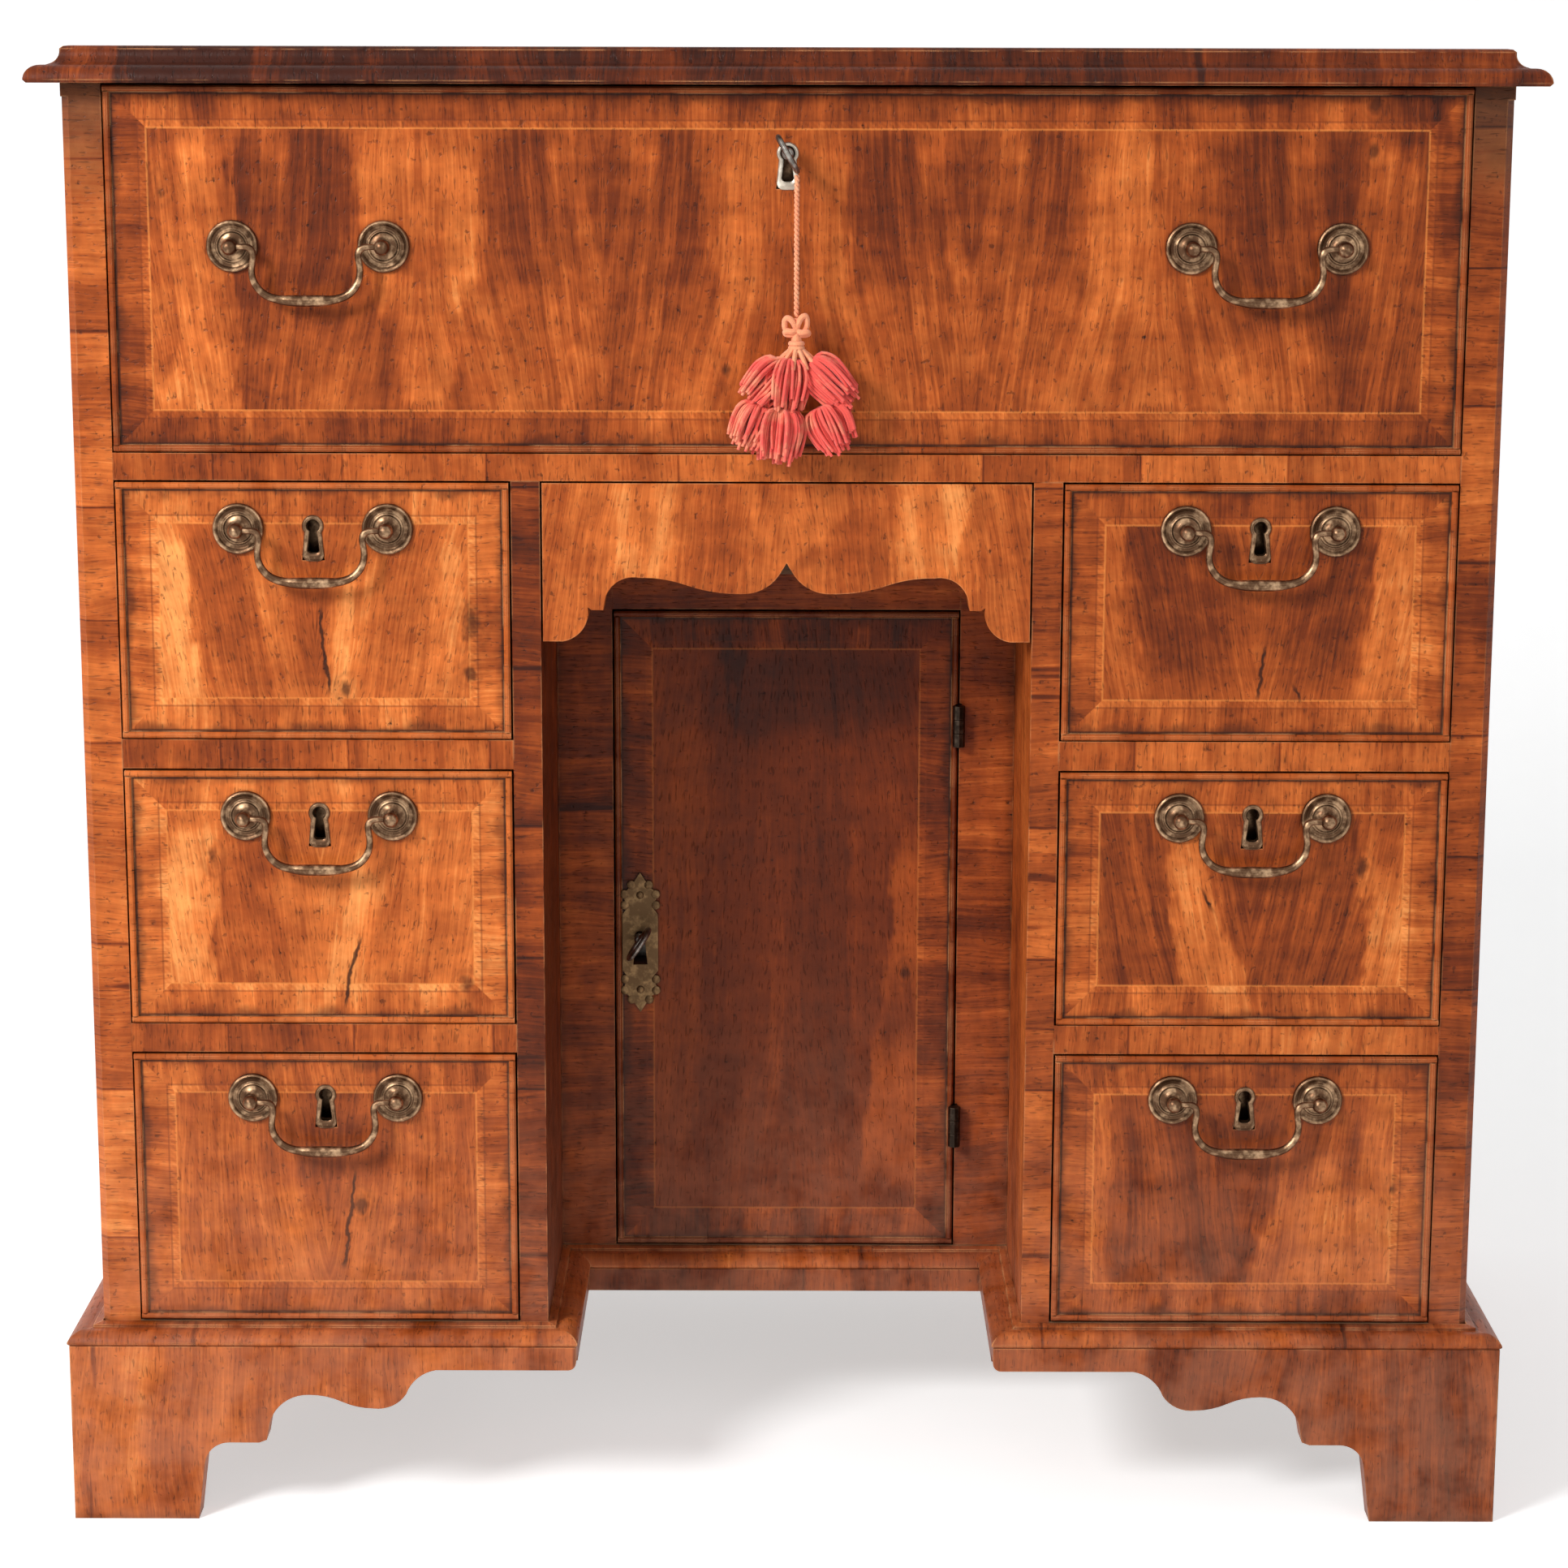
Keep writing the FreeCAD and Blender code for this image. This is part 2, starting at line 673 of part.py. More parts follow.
def make_post():
    """Post on a square shank. Its head is bored, from flat to flat, for the end of the bail."""
    half_head = dims.post_head * post_cheek_share
    head_back = -dims.pivot_reach + half_head
    body = new_body("post")
    many_sided(body, "Additive", "front", post_sides, dims.post_neck, head_back, -head_back - dims.rose_floor)
    head_length = dims.post_tip + head_back
    flat_turn = 180 / post_sides
    head = many_sided(body, "Additive", "front", post_sides, dims.post_head, -dims.post_tip, head_length,
                      flat_turn)
    chamfer_end(body, head, -y_axis, dims.post_neck)
    pad(body, "front", [square(dims.shank_width)], -dims.rose_floor, dims.rose_floor + dims.front_thickness)
    bore_radius = (dims.pivot_radius + dims.pivot_clearance) / math.cos(math.radians(flat_turn))
    bore = many_sided(body, "Subtractive", "side", post_sides, bore_radius, -dims.post_head, dims.post_head * 2)
    place_offset(bore, -dims.pivot_reach, zero)
    return body


def make_nut():
    """Cap nut over the end of the shank, behind the drawer front."""
    return prism("nut", "front", square(dims.nut_width), dims.front_thickness, dims.nut_thickness)


def swept(name, path, sides, radius, turn):
    """A many-sided rod along straight runs of a path in the front view, in the plane of the pivots."""
    spine = doc.addObject("Sketcher::SketchObject", f"{name}_path")
    spine.Placement = FreeCAD.Placement(FreeCAD.Vector(), FreeCAD.Rotation(x_axis, 90))
    draw(spine, path, closed=False)
    section = doc.addObject("Part::RegularPolygon", f"{name}_section")
    section.Polygon = sides
    section.Placement = FreeCAD.Placement(FreeCAD.Vector(), FreeCAD.Rotation(y_axis, turn))
    bind(section, {"Circumradius": radius})
    place(section, path[0][0], zero, path[0][1])
    rod = doc.addObject("Part::Sweep", name)
    rod.Sections = [section]
    rod.Spine = (spine, [])
    rod.Solid = True
    rod.Transition = "Right corner"
    return rod


def round_points(centre, radius, start_angle, turn, steps):
    """Points along a bend, which starts at an angle from the X axis and goes round by turn."""
    points = []
    for step in range(steps + 1):
        angle = math.radians(start_angle + turn * step / steps)
        points.append((centre[0] + radius * math.cos(angle), centre[1] + radius * math.sin(angle)))
    return points


def make_bail():
    """Swan-neck bail: a thick bow between two thin necks, whose ends turn in the heads of the posts."""
    end = dims.handle_spread / 2 - dims.post_head + dims.pivot_grip
    neck_x = dims.bail_neck_offset
    knee = dims.bail_knee_bend
    bow = dims.bail_bow_bend
    bow_top = bow - dims.bail_drop
    neck_path = [(end, zero)] + round_points((neck_x + knee, -knee), knee, 90, 90, bail_knee_steps)
    neck_path.append((neck_x, bow_top))
    neck = swept("bail_neck", neck_path, bail_sides, dims.pivot_radius, 90)
    right = round_points((neck_x - bow, bow_top), bow, 0, -90, bail_bow_steps)
    left = [(-x, z) for x, z in reversed(right)]
    bow_rod = swept("bail_bow", [(neck_x, bow_top / 2)] + right + left + [(-neck_x, bow_top / 2)],
                    bail_sides, dims.bail_bow_radius, 0)
    flat = fuse("flat_bail", with_mirror(neck) + [bow_rod])
    place(flat, zero, -dims.pivot_reach, zero)
    bail_group = doc.addObject("Part::Compound", "bail")
    bail_group.Links = [flat]
    return bail_group


def keyhole(extra):
    """Keyhole round its eye: a many-sided head over a foot that widens downward."""
    eye = dims.keyhole_eye + extra
    foot = dims.keyhole_foot + extra
    floor = -dims.keyhole_length - extra
    head = round_points((zero, zero), eye, -eye_opening, 180 + eye_opening * 2, eye_steps)
    return [(-foot, floor), (foot, floor)] + head


def make_thread():
    """Brass thread that lines the keyhole."""
    body = new_body("keyhole_thread")
    outlines = [keyhole(dims.thread_width), keyhole(zero)]
    pad(body, "front", outlines, -dims.thread_proud, dims.thread_depth + dims.thread_proud)
    return body


def make_lock(name, edge):
    """Lock case round its key, with a pit for the bit and a slot that lets the bolt out at the top."""
    back = dims.front_thickness
    body = new_body(name)
    outline = rectangle(span(dims.lock_width / 2), (-dims.lock_height * lock_skirt_share, edge))
    pad(body, "front", [outline], back, dims.lock_depth + dims.lock_wall)
    pocket(body, "front", [square(dims.lock_pit_width)], back, dims.lock_pit)
    slot_x = span(dims.bolt_width / 2 + dims.run_gap)
    slot_front = back + dims.lock_pit + dims.lock_wall
    slot_y = (slot_front, slot_front + dims.bolt_thickness + dims.run_gap * 2)
    floor = edge - dims.bolt_length - dims.run_gap * 2
    pocket(body, "plan", [rectangle(slot_x, slot_y)], floor, edge - floor)
    return body


def make_bolt(name, edge):
    front = dims.front_thickness + dims.lock_pit + dims.lock_wall + dims.run_gap
    end = edge - dims.run_gap
    outline = rectangle(span(dims.bolt_width / 2), (end - dims.bolt_length, end))
    return prism(name, "front", outline, front, dims.bolt_thickness)


def make_key():
    """Key with a flat ring bow, a shank and a plain bit, drawn with its bit hanging down."""
    bow_centre = dims.bow_radius - dims.bow_reach
    shank_end = dims.front_thickness + dims.lock_pit - dims.run_gap
    shank_start = bow_centre + (dims.bow_radius + dims.bow_eye) / 2
    body = new_body("key")
    shank_length = shank_end - shank_start
    many_sided(body, "Additive", "front", knuckle_sides, dims.key_radius, shank_start, shank_length)
    bit = rectangle(span(dims.key_bit_thickness / 2), (-dims.key_bit, zero))
    pad(body, "front", [bit], shank_end - dims.key_bit_length, dims.key_bit_length)
    half_bow = dims.bow_thickness / 2
    bow = many_sided(body, "Additive", "side", bow_sides, dims.bow_radius, -half_bow, dims.bow_thickness)
    eye = many_sided(body, "Subtractive", "side", bow_sides, dims.bow_eye, -half_bow, dims.bow_thickness)
    for feature in (bow, eye):
        place_offset(feature, bow_centre, zero)
    return body


def make_lock_block():
    """Closed lock case of a drawer whose key is away."""
    outline = rectangle(span(dims.lock_width / 2), span(dims.lock_height / 2))
    return prism("small_lock", "front", outline, dims.front_thickness, dims.lock_depth)


# Drawers.
def tail(shoulder, end, centre, pitch):
    """Outline of one dovetail, which is wider at its end than at its shoulder."""
    narrow = pitch * (tail_narrow_share / 2)
    wide = pitch * (tail_wide_share / 2)
    lower = [(shoulder, centre - narrow), (end, centre - wide)]
    return lower + [(end, centre + wide), (shoulder, centre + narrow)]


def bead_profile(front_edge, back_edge, low, high):
    """Section of a cock bead: flat sides and a nose with its edges taken off, given as depth and breadth."""
    ease = (high - low) * bead_ease_share
    return [(back_edge, low), (back_edge, high), (front_edge + ease, high), (front_edge, high - ease),
            (front_edge, low + ease), (front_edge + ease, low)]


def cock_beads(prefix, centre, half, z_range, face):
    nose = face - dims.bead_proud
    back = face + dims.bead_depth
    breadth = dims.bead_width
    beads = []
    for side, low in (("bottom", z_range[0]), ("top", z_range[1] - breadth)):
        profile = bead_profile(nose, back, low, low + breadth)
        beads.append(prism(f"{prefix}_bead_{side}", "side", profile, centre - half, half * 2))
    outer = centre - half
    upright = moved(bead_profile(nose, back, outer, outer + breadth), lambda y, x: (x, y))
    height = z_range[1] - z_range[0] - breadth * 2
    left = prism(f"{prefix}_bead_left", "plan", upright, z_range[0] + breadth, height)
    return beads + [left, mirrored(f"{prefix}_bead_right", left, centre)]


def beaded_front(name, centre, half, z_range, face):
    """Front board, stepped so that beads lie round its forward part. It is drawn round its own centre."""
    body = new_body(name)
    place(body, centre, zero, zero)
    back_part = dims.front_thickness - dims.bead_depth
    pad(body, "front", [rectangle(span(half), z_range)], face + dims.bead_depth, back_part)
    inner_z = (z_range[0] + dims.bead_width, z_range[1] - dims.bead_width)
    pad(body, "front", [rectangle(span(half - dims.bead_width), inner_z)], face, dims.bead_depth)
    return body


def drawer_box(prefix, centre, half, floor, roof, side, tails):
    """Two sides dovetailed to the front, a back between them and a bottom let into their rebates."""
    front = dims.front_thickness
    pitch = (roof - floor) / tails
    bottom_top = floor + dims.drawer_bottom
    front_tail = tail(front, dims.bead_depth, floor + pitch / 2, pitch)
    left = new_body(f"{prefix}_side_left")
    pad(left, "side", [rectangle((front, drawer_reach), (floor, roof))], centre - half, side)
    repeat_upward(left, pad(left, "side", [front_tail], centre - half, side), pitch, tails)
    inner = centre - half + side
    rebate = rectangle((inner - dims.bottom_rebate, inner), (floor, bottom_top))
    pocket(left, "front", [rebate], front, drawer_reach - front)
    right_inner = centre + half - side
    back_y = (drawer_reach - dims.drawer_back, drawer_reach)
    back = board(f"{prefix}_back", (inner, right_inner), back_y, (bottom_top, roof))
    bottom_x = (inner - dims.bottom_rebate, right_inner + dims.bottom_rebate)
    bottom = board(f"{prefix}_bottom", bottom_x, (front, drawer_reach), (floor, bottom_top))
    return front_tail, pitch, [left, mirrored(f"{prefix}_side_right", left, centre), back, bottom]


def handle_fittings(prefix, x, level):
    pieces = []
    for side, post_x in (("left", x - dims.handle_spread / 2), ("right", x + dims.handle_spread / 2)):
        for source in (rose, post, nut):
            pieces.append(copy_of(source, f"{prefix}_{source.Name}_{side}", post_x, zero, level))
    return pieces


def shank_holes(x, level):
    half_shank = dims.shank_width / 2
    return [
        rectangle((post_x - half_shank, post_x + half_shank), (level - half_shank, level + half_shank))
        for post_x in (x - dims.handle_spread / 2, x + dims.handle_spread / 2)
    ]


def beaded_drawer(prefix, centre, half, opening_z, side, tails, handles, handle_level, keyhole_level):
    """Front, box and beads of a drawer. handles holds the middle of each handle from the drawer's centre."""
    half = half - dims.front_gap
    front_z = (opening_z[0] + dims.front_lift, opening_z[1] - dims.front_gap)
    floor = opening_z[0] + dims.run_gap
    roof = front_z[1] - dims.side_drop
    socket, pitch, box = drawer_box(prefix, centre, half, floor, roof, side, tails)
    front = beaded_front(f"{prefix}_board", centre, half, front_z, zero)
    repeat_at_both_ends(front, pocket(front, "side", [socket], -half, side), pitch, tails)
    holes = [hole for x in handles for hole in shank_holes(as_size(x), handle_level)]
    eye = moved(keyhole(dims.thread_width), lambda x, z: (x, keyhole_level + z))
    pocket(front, "front", holes + [eye], zero, dims.front_thickness)
    beads = cock_beads(prefix, centre, half, front_z, zero)
    return node(f"{prefix}_front", [front] + beads), node(f"{prefix}_box", box)


def build_small_drawers():
    openings = {
        "upper": (upper_floor, rail_floor),
        "middle": (middle_floor, middle_roof),
        "lower": (base_height, lower_roof),
    }
    for level, opening_z in openings.items():
        prefix = f"left_{level}_drawer"
        handle_level = opening_z[1] - dims.handle_drop
        keyhole_level = opening_z[1] - dims.keyhole_drop
        front, box = beaded_drawer(prefix, -column_centre, column_half, opening_z, dims.drawer_side, 3,
                                   [0], handle_level, keyhole_level)
        lock_level = keyhole_level - dims.keyhole_length / 3
        fittings = handle_fittings(prefix, -column_centre, handle_level)
        fittings.append(copy_of(thread, f"{prefix}_thread", -column_centre, zero, keyhole_level))
        fittings.append(copy_of(small_lock, f"{prefix}_lock", -column_centre, zero, lock_level))
        hung = copy_of(bail, f"{prefix}_hung_bail", -column_centre, zero, handle_level)
        for left in (front, box, node(f"{prefix}_fittings", fittings), node(f"{prefix}_bail", [hung])):
            mirrored_node(left.Label.replace("left", "right", 1), left)


def build_long_drawer():
    prefix = "long_drawer"
    level = case_top - dims.long_handle_drop
    eye = long_keyhole_level
    offsets = [-dims.long_handle_offset, dims.long_handle_offset]
    opening_z = (long_floor, case_top)
    beaded_drawer(prefix, zero, side_inner, opening_z, dims.long_drawer_side, 4, offsets, level, eye)
    fittings = []
    for side, x in zip(("left", "right"), offsets):
        fittings += handle_fittings(f"{prefix}_{side}", x, level)
        node(f"{prefix}_{side}_bail", [copy_of(bail, f"{prefix}_{side}_hung_bail", x, zero, level)])
    fittings.append(copy_of(thread, f"{prefix}_thread", zero, zero, eye))
    edge = case_top - dims.front_gap - eye
    lock = make_lock(f"{prefix}_lock_case", edge)
    fittings.append(place(lock, zero, zero, eye))
    node(f"{prefix}_fittings", fittings)
    node(f"{prefix}_bolt", [place(make_bolt("long_bolt", edge), zero, zero, eye)])
    node(f"{prefix}_key", [copy_of(key, "long_key", zero, zero, eye, key_tilt)])


def build_apron_drawer():
    """Shallow drawer behind the shaped apron over the kneehole."""
    prefix = "apron_drawer"
    half = knee - dims.front_gap
    top = rail_floor - dims.front_gap
    foot = rail_floor - dims.apron_drop
    curve = moved(apron_curve_shares, lambda along, up: (half * along, foot + dims.apron_drop * up))
    mirror_curve = moved(curve, lambda x, z: (-x, z))
    path = [(-half, foot)] + mirror_curve + backwards(curve)[1:] + [(half, foot), (half, top), (-half, top)]
    floor = soffit_top + dims.run_gap
    socket, pitch, box = drawer_box(prefix, zero, half, floor, top - dims.side_drop, dims.drawer_side, 2)
    front = new_body(f"{prefix}_board")
    pad(front, "front", [path], zero, dims.apron_thickness)
    repeat_at_both_ends(front, pocket(front, "side", [socket], -half, dims.drawer_side), pitch, 2)
    node(f"{prefix}_front", [front])
    node(f"{prefix}_box", box)


# Cupboard.
door_edge = door_half - dims.front_gap
hinge_x = door_half - dims.front_gap / 2
hinge_y = dims.recess_depth - dims.bead_proud - dims.knuckle_radius - dims.run_gap
hinge_levels = {"upper": door_roof - dims.upper_hinge_drop, "lower": base_height + dims.lower_hinge_rise}


def hinge_leaf(name, level, leaf_x, knuckles):
    """Leaf of a butt hinge. knuckles numbers its thirds, from 0 at the foot, that lie round the pin."""
    foot = level - dims.hinge_height / 2
    third = dims.hinge_height / 3
    body = new_body(name)
    leaf_y = (dims.recess_depth, dims.recess_depth + dims.leaf_depth)
    pad(body, "plan", [rectangle(leaf_x, leaf_y)], foot, dims.hinge_height)
    for number in knuckles:
        start = foot + third * number
        length = third - dims.run_gap
        link_y = (hinge_y + dims.knuckle_radius * knuckle_root_share, dims.recess_depth)
        pad(body, "plan", [rectangle(leaf_x, link_y)], start, length)
        hinge_knuckle(body, start, length)
    return body


def hinge_knuckle(body, start, length):
    feature = many_sided(body, "Additive", "plan", knuckle_sides, dims.knuckle_radius, start, length)
    place_offset(feature, hinge_x, hinge_y)


def hinge_round(body, kind, radius, start, length):
    """A round pin or bore on the line that the door turns about."""
    place_offset(round_part(body, kind, "plan", radius, start, length), hinge_x, hinge_y)


def pinned_leaf(name, level, leaf_x):
    """Leaf with the outer knuckles and the pin, which is riveted into them."""
    body = hinge_leaf(name, level, leaf_x, [0, 2])
    third = dims.hinge_height / 3
    hinge_round(body, "Additive", dims.pin_radius, level - third / 2 - dims.run_gap, third + dims.run_gap)
    return body


def bored_leaf(name, level, leaf_x):
    """Leaf with the middle knuckle, which is bored for the pin."""
    body = hinge_leaf(name, level, leaf_x, [1])
    bore = dims.pin_radius + dims.pivot_clearance
    hinge_round(body, "Subtractive", bore, level - dims.hinge_height / 2, dims.hinge_height)
    return body


def leaf_recess(name, level, leaf_x, front_edge):
    half = dims.hinge_height / 2
    depth = (front_edge, dims.recess_depth + dims.leaf_depth)
    return board(name, leaf_x, depth, (level - half, level + half))


def keyhole_plate():
    """Shaped plate of the door, drawn round the eye of its keyhole."""
    half_width_here = dims.plate_width / 2
    half_length = dims.plate_length / 2
    middle = -dims.keyhole_eye
    right = moved(plate_curve_shares, lambda along, up: (half_width_here * along, half_length * up + middle))
    tip = (zero, half_length + middle)
    upper_right = [tip] + right
    lower_right = backwards(moved(upper_right, lambda x, z: (x, middle * 2 - z)))
    right_side = upper_right + lower_right
    left_side = backwards(moved(right_side, lambda x, z: (-x, z)))[1:-1]
    outline = right_side + left_side
    body = new_body("keyhole_plate")
    pad(body, "front", [outline, keyhole(zero)], -dims.plate_thickness, dims.plate_thickness)
    return body


def build_cupboard():
    depth = (dims.recess_depth, dims.recess_depth + dims.frame_thickness)
    door_leaf_x = (door_edge - dims.leaf_thickness, door_edge)
    stile_leaf_x = (door_half, door_half + dims.leaf_thickness)
    stile = board("stile_left", (-knee, -door_half), depth, (base_height, soffit_floor))
    right = board("stile_right_whole", (door_half, knee), depth, (base_height, soffit_floor))
    tools = [leaf_recess(f"stile_recess_{side}", level, stile_leaf_x, dims.recess_depth)
             for side, level in hinge_levels.items()]
    rail = board("door_rail", span(door_half), depth, (door_roof, soffit_floor))
    node("cupboard_face_frame", [stile, cut("stile_right", right, tools), rail])

    door_z = (base_height + dims.front_lift, door_roof - dims.front_gap)
    panel = beaded_front("door_board", zero, door_edge, door_z, dims.recess_depth)
    eye = moved(keyhole(zero), lambda x, z: (x - dims.door_key_offset, door_key_level + z))
    pocket(panel, "front", [eye], dims.recess_depth, dims.front_thickness)
    panel_back = dims.recess_depth + dims.front_thickness
    bevel = [(-door_edge, dims.recess_depth + dims.bead_depth), (-door_edge + dims.door_bevel, panel_back),
             (-door_edge, panel_back)]
    pocket(panel, "plan", [bevel], door_z[0], door_z[1] - door_z[0])
    beads = cock_beads("door", zero, door_edge, door_z, dims.recess_depth)
    nose = dims.recess_depth - dims.bead_proud
    recesses = [leaf_recess(f"door_recess_{side}", level, door_leaf_x, nose)
                for side, level in hinge_levels.items()]
    beads[-1] = cut("door_bead_right_let_in", beads[-1], recesses)
    node("door_panel", [cut("door_board_let_in", panel, recesses)] + beads)

    moving = [bored_leaf(f"door_leaf_{side}", level, door_leaf_x) for side, level in hinge_levels.items()]
    fixed = [pinned_leaf(f"stile_leaf_{side}", level, stile_leaf_x) for side, level in hinge_levels.items()]
    node("door_hinge_leaves", moving)
    node("stile_hinge_leaves", fixed)

    spot = (-dims.door_key_offset, dims.recess_depth, door_key_level)
    plate = keyhole_plate()
    lock = make_lock("door_lock_case", dims.door_lock_edge)
    bolt = make_bolt("door_lock_bolt", dims.door_lock_edge)
    node("door_keyhole_plate", [copy_of(plate, "door_plate", *spot)])
    node("door_lock", [copy_of(lock, "door_lock_turned", *spot, lock_turn)])
    node("door_bolt", [copy_of(bolt, "door_bolt_turned", *spot, lock_turn)])
    node("door_key", [copy_of(key, "door_key_turned", *spot, door_key_tilt)])


# Cord and tassel of the long drawer's key. They hang close under the lowest point of the key's bow.
def build_tassel():
    lean = math.radians(-key_tilt)
    ring_middle = (dims.bow_radius + dims.bow_eye) / 2
    x = ring_middle * math.sin(lean)
    y = dims.bow_radius - dims.bow_reach
    cord_top = long_keyhole_level - ring_middle * math.cos(lean) - dims.cord_hang
    knot_top = cord_top - dims.cord_length
    tuft_top = knot_top - dims.knot_length
    cord = doc.addObject("Part::Cylinder", "cord")
    bind(cord, {"Radius": dims.cord_radius, "Height": dims.cord_length})
    node("key_cord", [place(cord, x, y, knot_top)])

    knot = new_body("tassel_knot")
    ball = many_sided(knot, "Additive", "plan", tuft_sides, dims.knot_radius, zero, dims.knot_length)
    chamfer_end(knot, ball, z_axis, dims.knot_radius / 2)
    pieces = [place(knot, x, y, tuft_top)]
    tuft = new_body("tuft")
    skirt = dims.tuft_length * skirt_share
    many_sided(tuft, "Additive", "plan", tuft_sides, dims.tuft_radius, zero, skirt)
    cap_radius = dims.tuft_radius * cap_share
    cap = many_sided(tuft, "Additive", "plan", tuft_sides, cap_radius, skirt, dims.tuft_length - skirt)
    chamfer_end(tuft, cap, z_axis, dims.tuft_radius / 2)
    splay = math.radians(string_splay)
    for number in (-1, 0, 1):
        tuft_x = x + dims.tuft_spacing * number
        pieces.append(copy_of(tuft, f"tuft_{number + 1}", tuft_x, y, tuft_top - dims.tuft_length))
        if number:
            string = doc.addObject("Part::Prism", f"tuft_string_{number + 1}")
            turn = FreeCAD.Rotation(y_axis, -string_splay * number)
            string.Placement = FreeCAD.Placement(FreeCAD.Vector(), turn)
            bind(string, {"Circumradius": dims.tuft_string, "Height": dims.tuft_spacing / math.sin(splay)})
            pieces.append(place(string, tuft_x, y, tuft_top - dims.tuft_string))
    node("key_tassel", [fuse("tassel", pieces)])


rose = make_rose()
post = make_post()
nut = make_nut()
bail = make_bail()
thread = make_thread()
small_lock = make_lock_block()
key = make_key()
build_case()
build_long_drawer()
build_small_drawers()
build_apron_drawer()
build_cupboard()
build_tassel()
doc.recompute()

faults = [item.Name for item in doc.Objects if "Invalid" in item.State or "Error" in item.State]
if faults:
    raise RuntimeError(f"not built: {faults}")
for feature in pockets:
    if feature.Shape.Volume >= feature.BaseFeature.Shape.Volume:
        raise RuntimeError(f"{feature.Name} of {feature.getParentGeoFeatureGroup().Name} cuts nothing")

os.makedirs("parts", exist_ok=True)
for piece in nodes:
    if piece.Shape.isNull() or not piece.Shape.isValid() or not piece.Shape.Solids:
        raise RuntimeError(f"{piece.Label} has no valid solid")
    piece.Shape.exportStep(f"parts/{piece.Label}.step")
print(len(nodes), "nodes written")
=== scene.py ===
# %% [markdown]
# # A kneehole desk in figured walnut
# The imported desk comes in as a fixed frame: every board, lock and hinge is already where it belongs, in
# metres, with the floor at Z = 0 and the front towards -Y. This lesson lays finishes over those boards
# and makes anew the pieces that are turned, cast or soft, such as the handles and the key's tassel.

# %% Load the desk
import math
import random
from collections.abc import Sequence
from dataclasses import dataclass

import bmesh
import bpy
from mathutils import Matrix, Vector
from mathutils.geometry import interpolate_bezier


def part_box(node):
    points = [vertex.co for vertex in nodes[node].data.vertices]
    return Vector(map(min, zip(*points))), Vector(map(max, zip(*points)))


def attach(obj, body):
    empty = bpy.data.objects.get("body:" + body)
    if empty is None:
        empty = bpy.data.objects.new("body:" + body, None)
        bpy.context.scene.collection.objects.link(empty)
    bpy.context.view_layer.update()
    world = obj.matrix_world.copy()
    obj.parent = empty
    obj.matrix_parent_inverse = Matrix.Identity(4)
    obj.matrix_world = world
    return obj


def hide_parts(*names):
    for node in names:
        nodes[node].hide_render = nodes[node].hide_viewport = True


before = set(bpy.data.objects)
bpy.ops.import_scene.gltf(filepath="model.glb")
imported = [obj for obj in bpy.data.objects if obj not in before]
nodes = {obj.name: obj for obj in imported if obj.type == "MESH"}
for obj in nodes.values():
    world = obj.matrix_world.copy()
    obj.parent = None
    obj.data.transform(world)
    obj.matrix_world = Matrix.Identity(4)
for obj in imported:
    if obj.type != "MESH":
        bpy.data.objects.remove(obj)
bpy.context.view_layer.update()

print(len(nodes), "pieces of the desk are in place")

# %% [markdown]
# The photograph was taken from straight in front, at about the height of the top, with a long lens that
# looks down by eleven degrees. The lens is worked out from its focal length in pixels, so that the frame
# of the picture is the frame of the render. A camera could be placed by eye, but then no edge would fall
# where it does in the photograph.

# %% Camera
photo_pixels = 1932
focal_pixels = 4515
sensor_millimetres = 36
case_front = -0.21425
camera_place = Vector((-0.0011, case_front - 1.928, 0.7942))
look_down = math.radians(11.2)
roll = 0.0026

lens = bpy.data.cameras.new("photo_lens")
lens.sensor_width = sensor_millimetres
lens.lens = sensor_millimetres * focal_pixels / photo_pixels
camera = bpy.data.objects.new("photo_camera", lens)
bpy.context.scene.collection.objects.link(camera)
upright = Matrix.Rotation(math.pi / 2 - look_down, 4, "X") @ Matrix.Rotation(roll, 4, "Z")
camera.matrix_world = Matrix.Translation(camera_place) @ upright
bpy.context.scene.camera = camera
print("lens of", round(lens.lens, 1), "mm")

# %% [markdown]
# Shapes are collected in a pile of points and faces that becomes one mesh, so that one handle's roses,
# posts and nuts are one piece. A mesh could also be made with Blender's menus as operators, but plain
# points and faces need no selection and no active object.

# %% Meshes from points
MILLIMETRE = 0.001
SHARP_DEGREES = 38


class Pile:
    """Vertices and faces that grow into one mesh, given in millimetres."""

    def __init__(self):
        self.points = []
        self.faces = []

    def add(self, points, faces, place=Matrix.Identity(4)):
        first = len(self.points)
        self.points += [place @ Vector(point) for point in points]
        self.faces += [[first + number for number in face] for face in faces]

    def rings(self, rows, place=Matrix.Identity(4), ends=True, looped=False):
        """Skin a row of point loops. looped joins the last loop to the first."""
        count = len(rows[0])
        points = [point for row in rows for point in row]
        faces = []
        last = len(rows) if looped else len(rows) - 1
        for number in range(last):
            here, there = number * count, (number + 1) % len(rows) * count
            for step in range(count):
                after = (step + 1) % count
                faces.append([here + step, here + after, there + after, there + step])
        if ends and not looped:
            faces.append(list(range(count))[::-1])
            faces.append([(len(rows) - 1) * count + step for step in range(count)])
        self.add(points, faces, place)

    def mesh(self, name):
        mesh = bpy.data.meshes.new(name)
        mesh.from_pydata([point * MILLIMETRE for point in self.points], [], self.faces)
        shape = bmesh.new()
        shape.from_mesh(mesh)
        bmesh.ops.remove_doubles(shape, verts=shape.verts, dist=1e-6)
        bmesh.ops.recalc_face_normals(shape, faces=shape.faces)
        shape.to_mesh(mesh)
        shape.free()
        mesh.polygons.foreach_set("use_smooth", [True] * len(mesh.polygons))
        mesh.set_sharp_from_angle(angle=math.radians(SHARP_DEGREES))
        return mesh


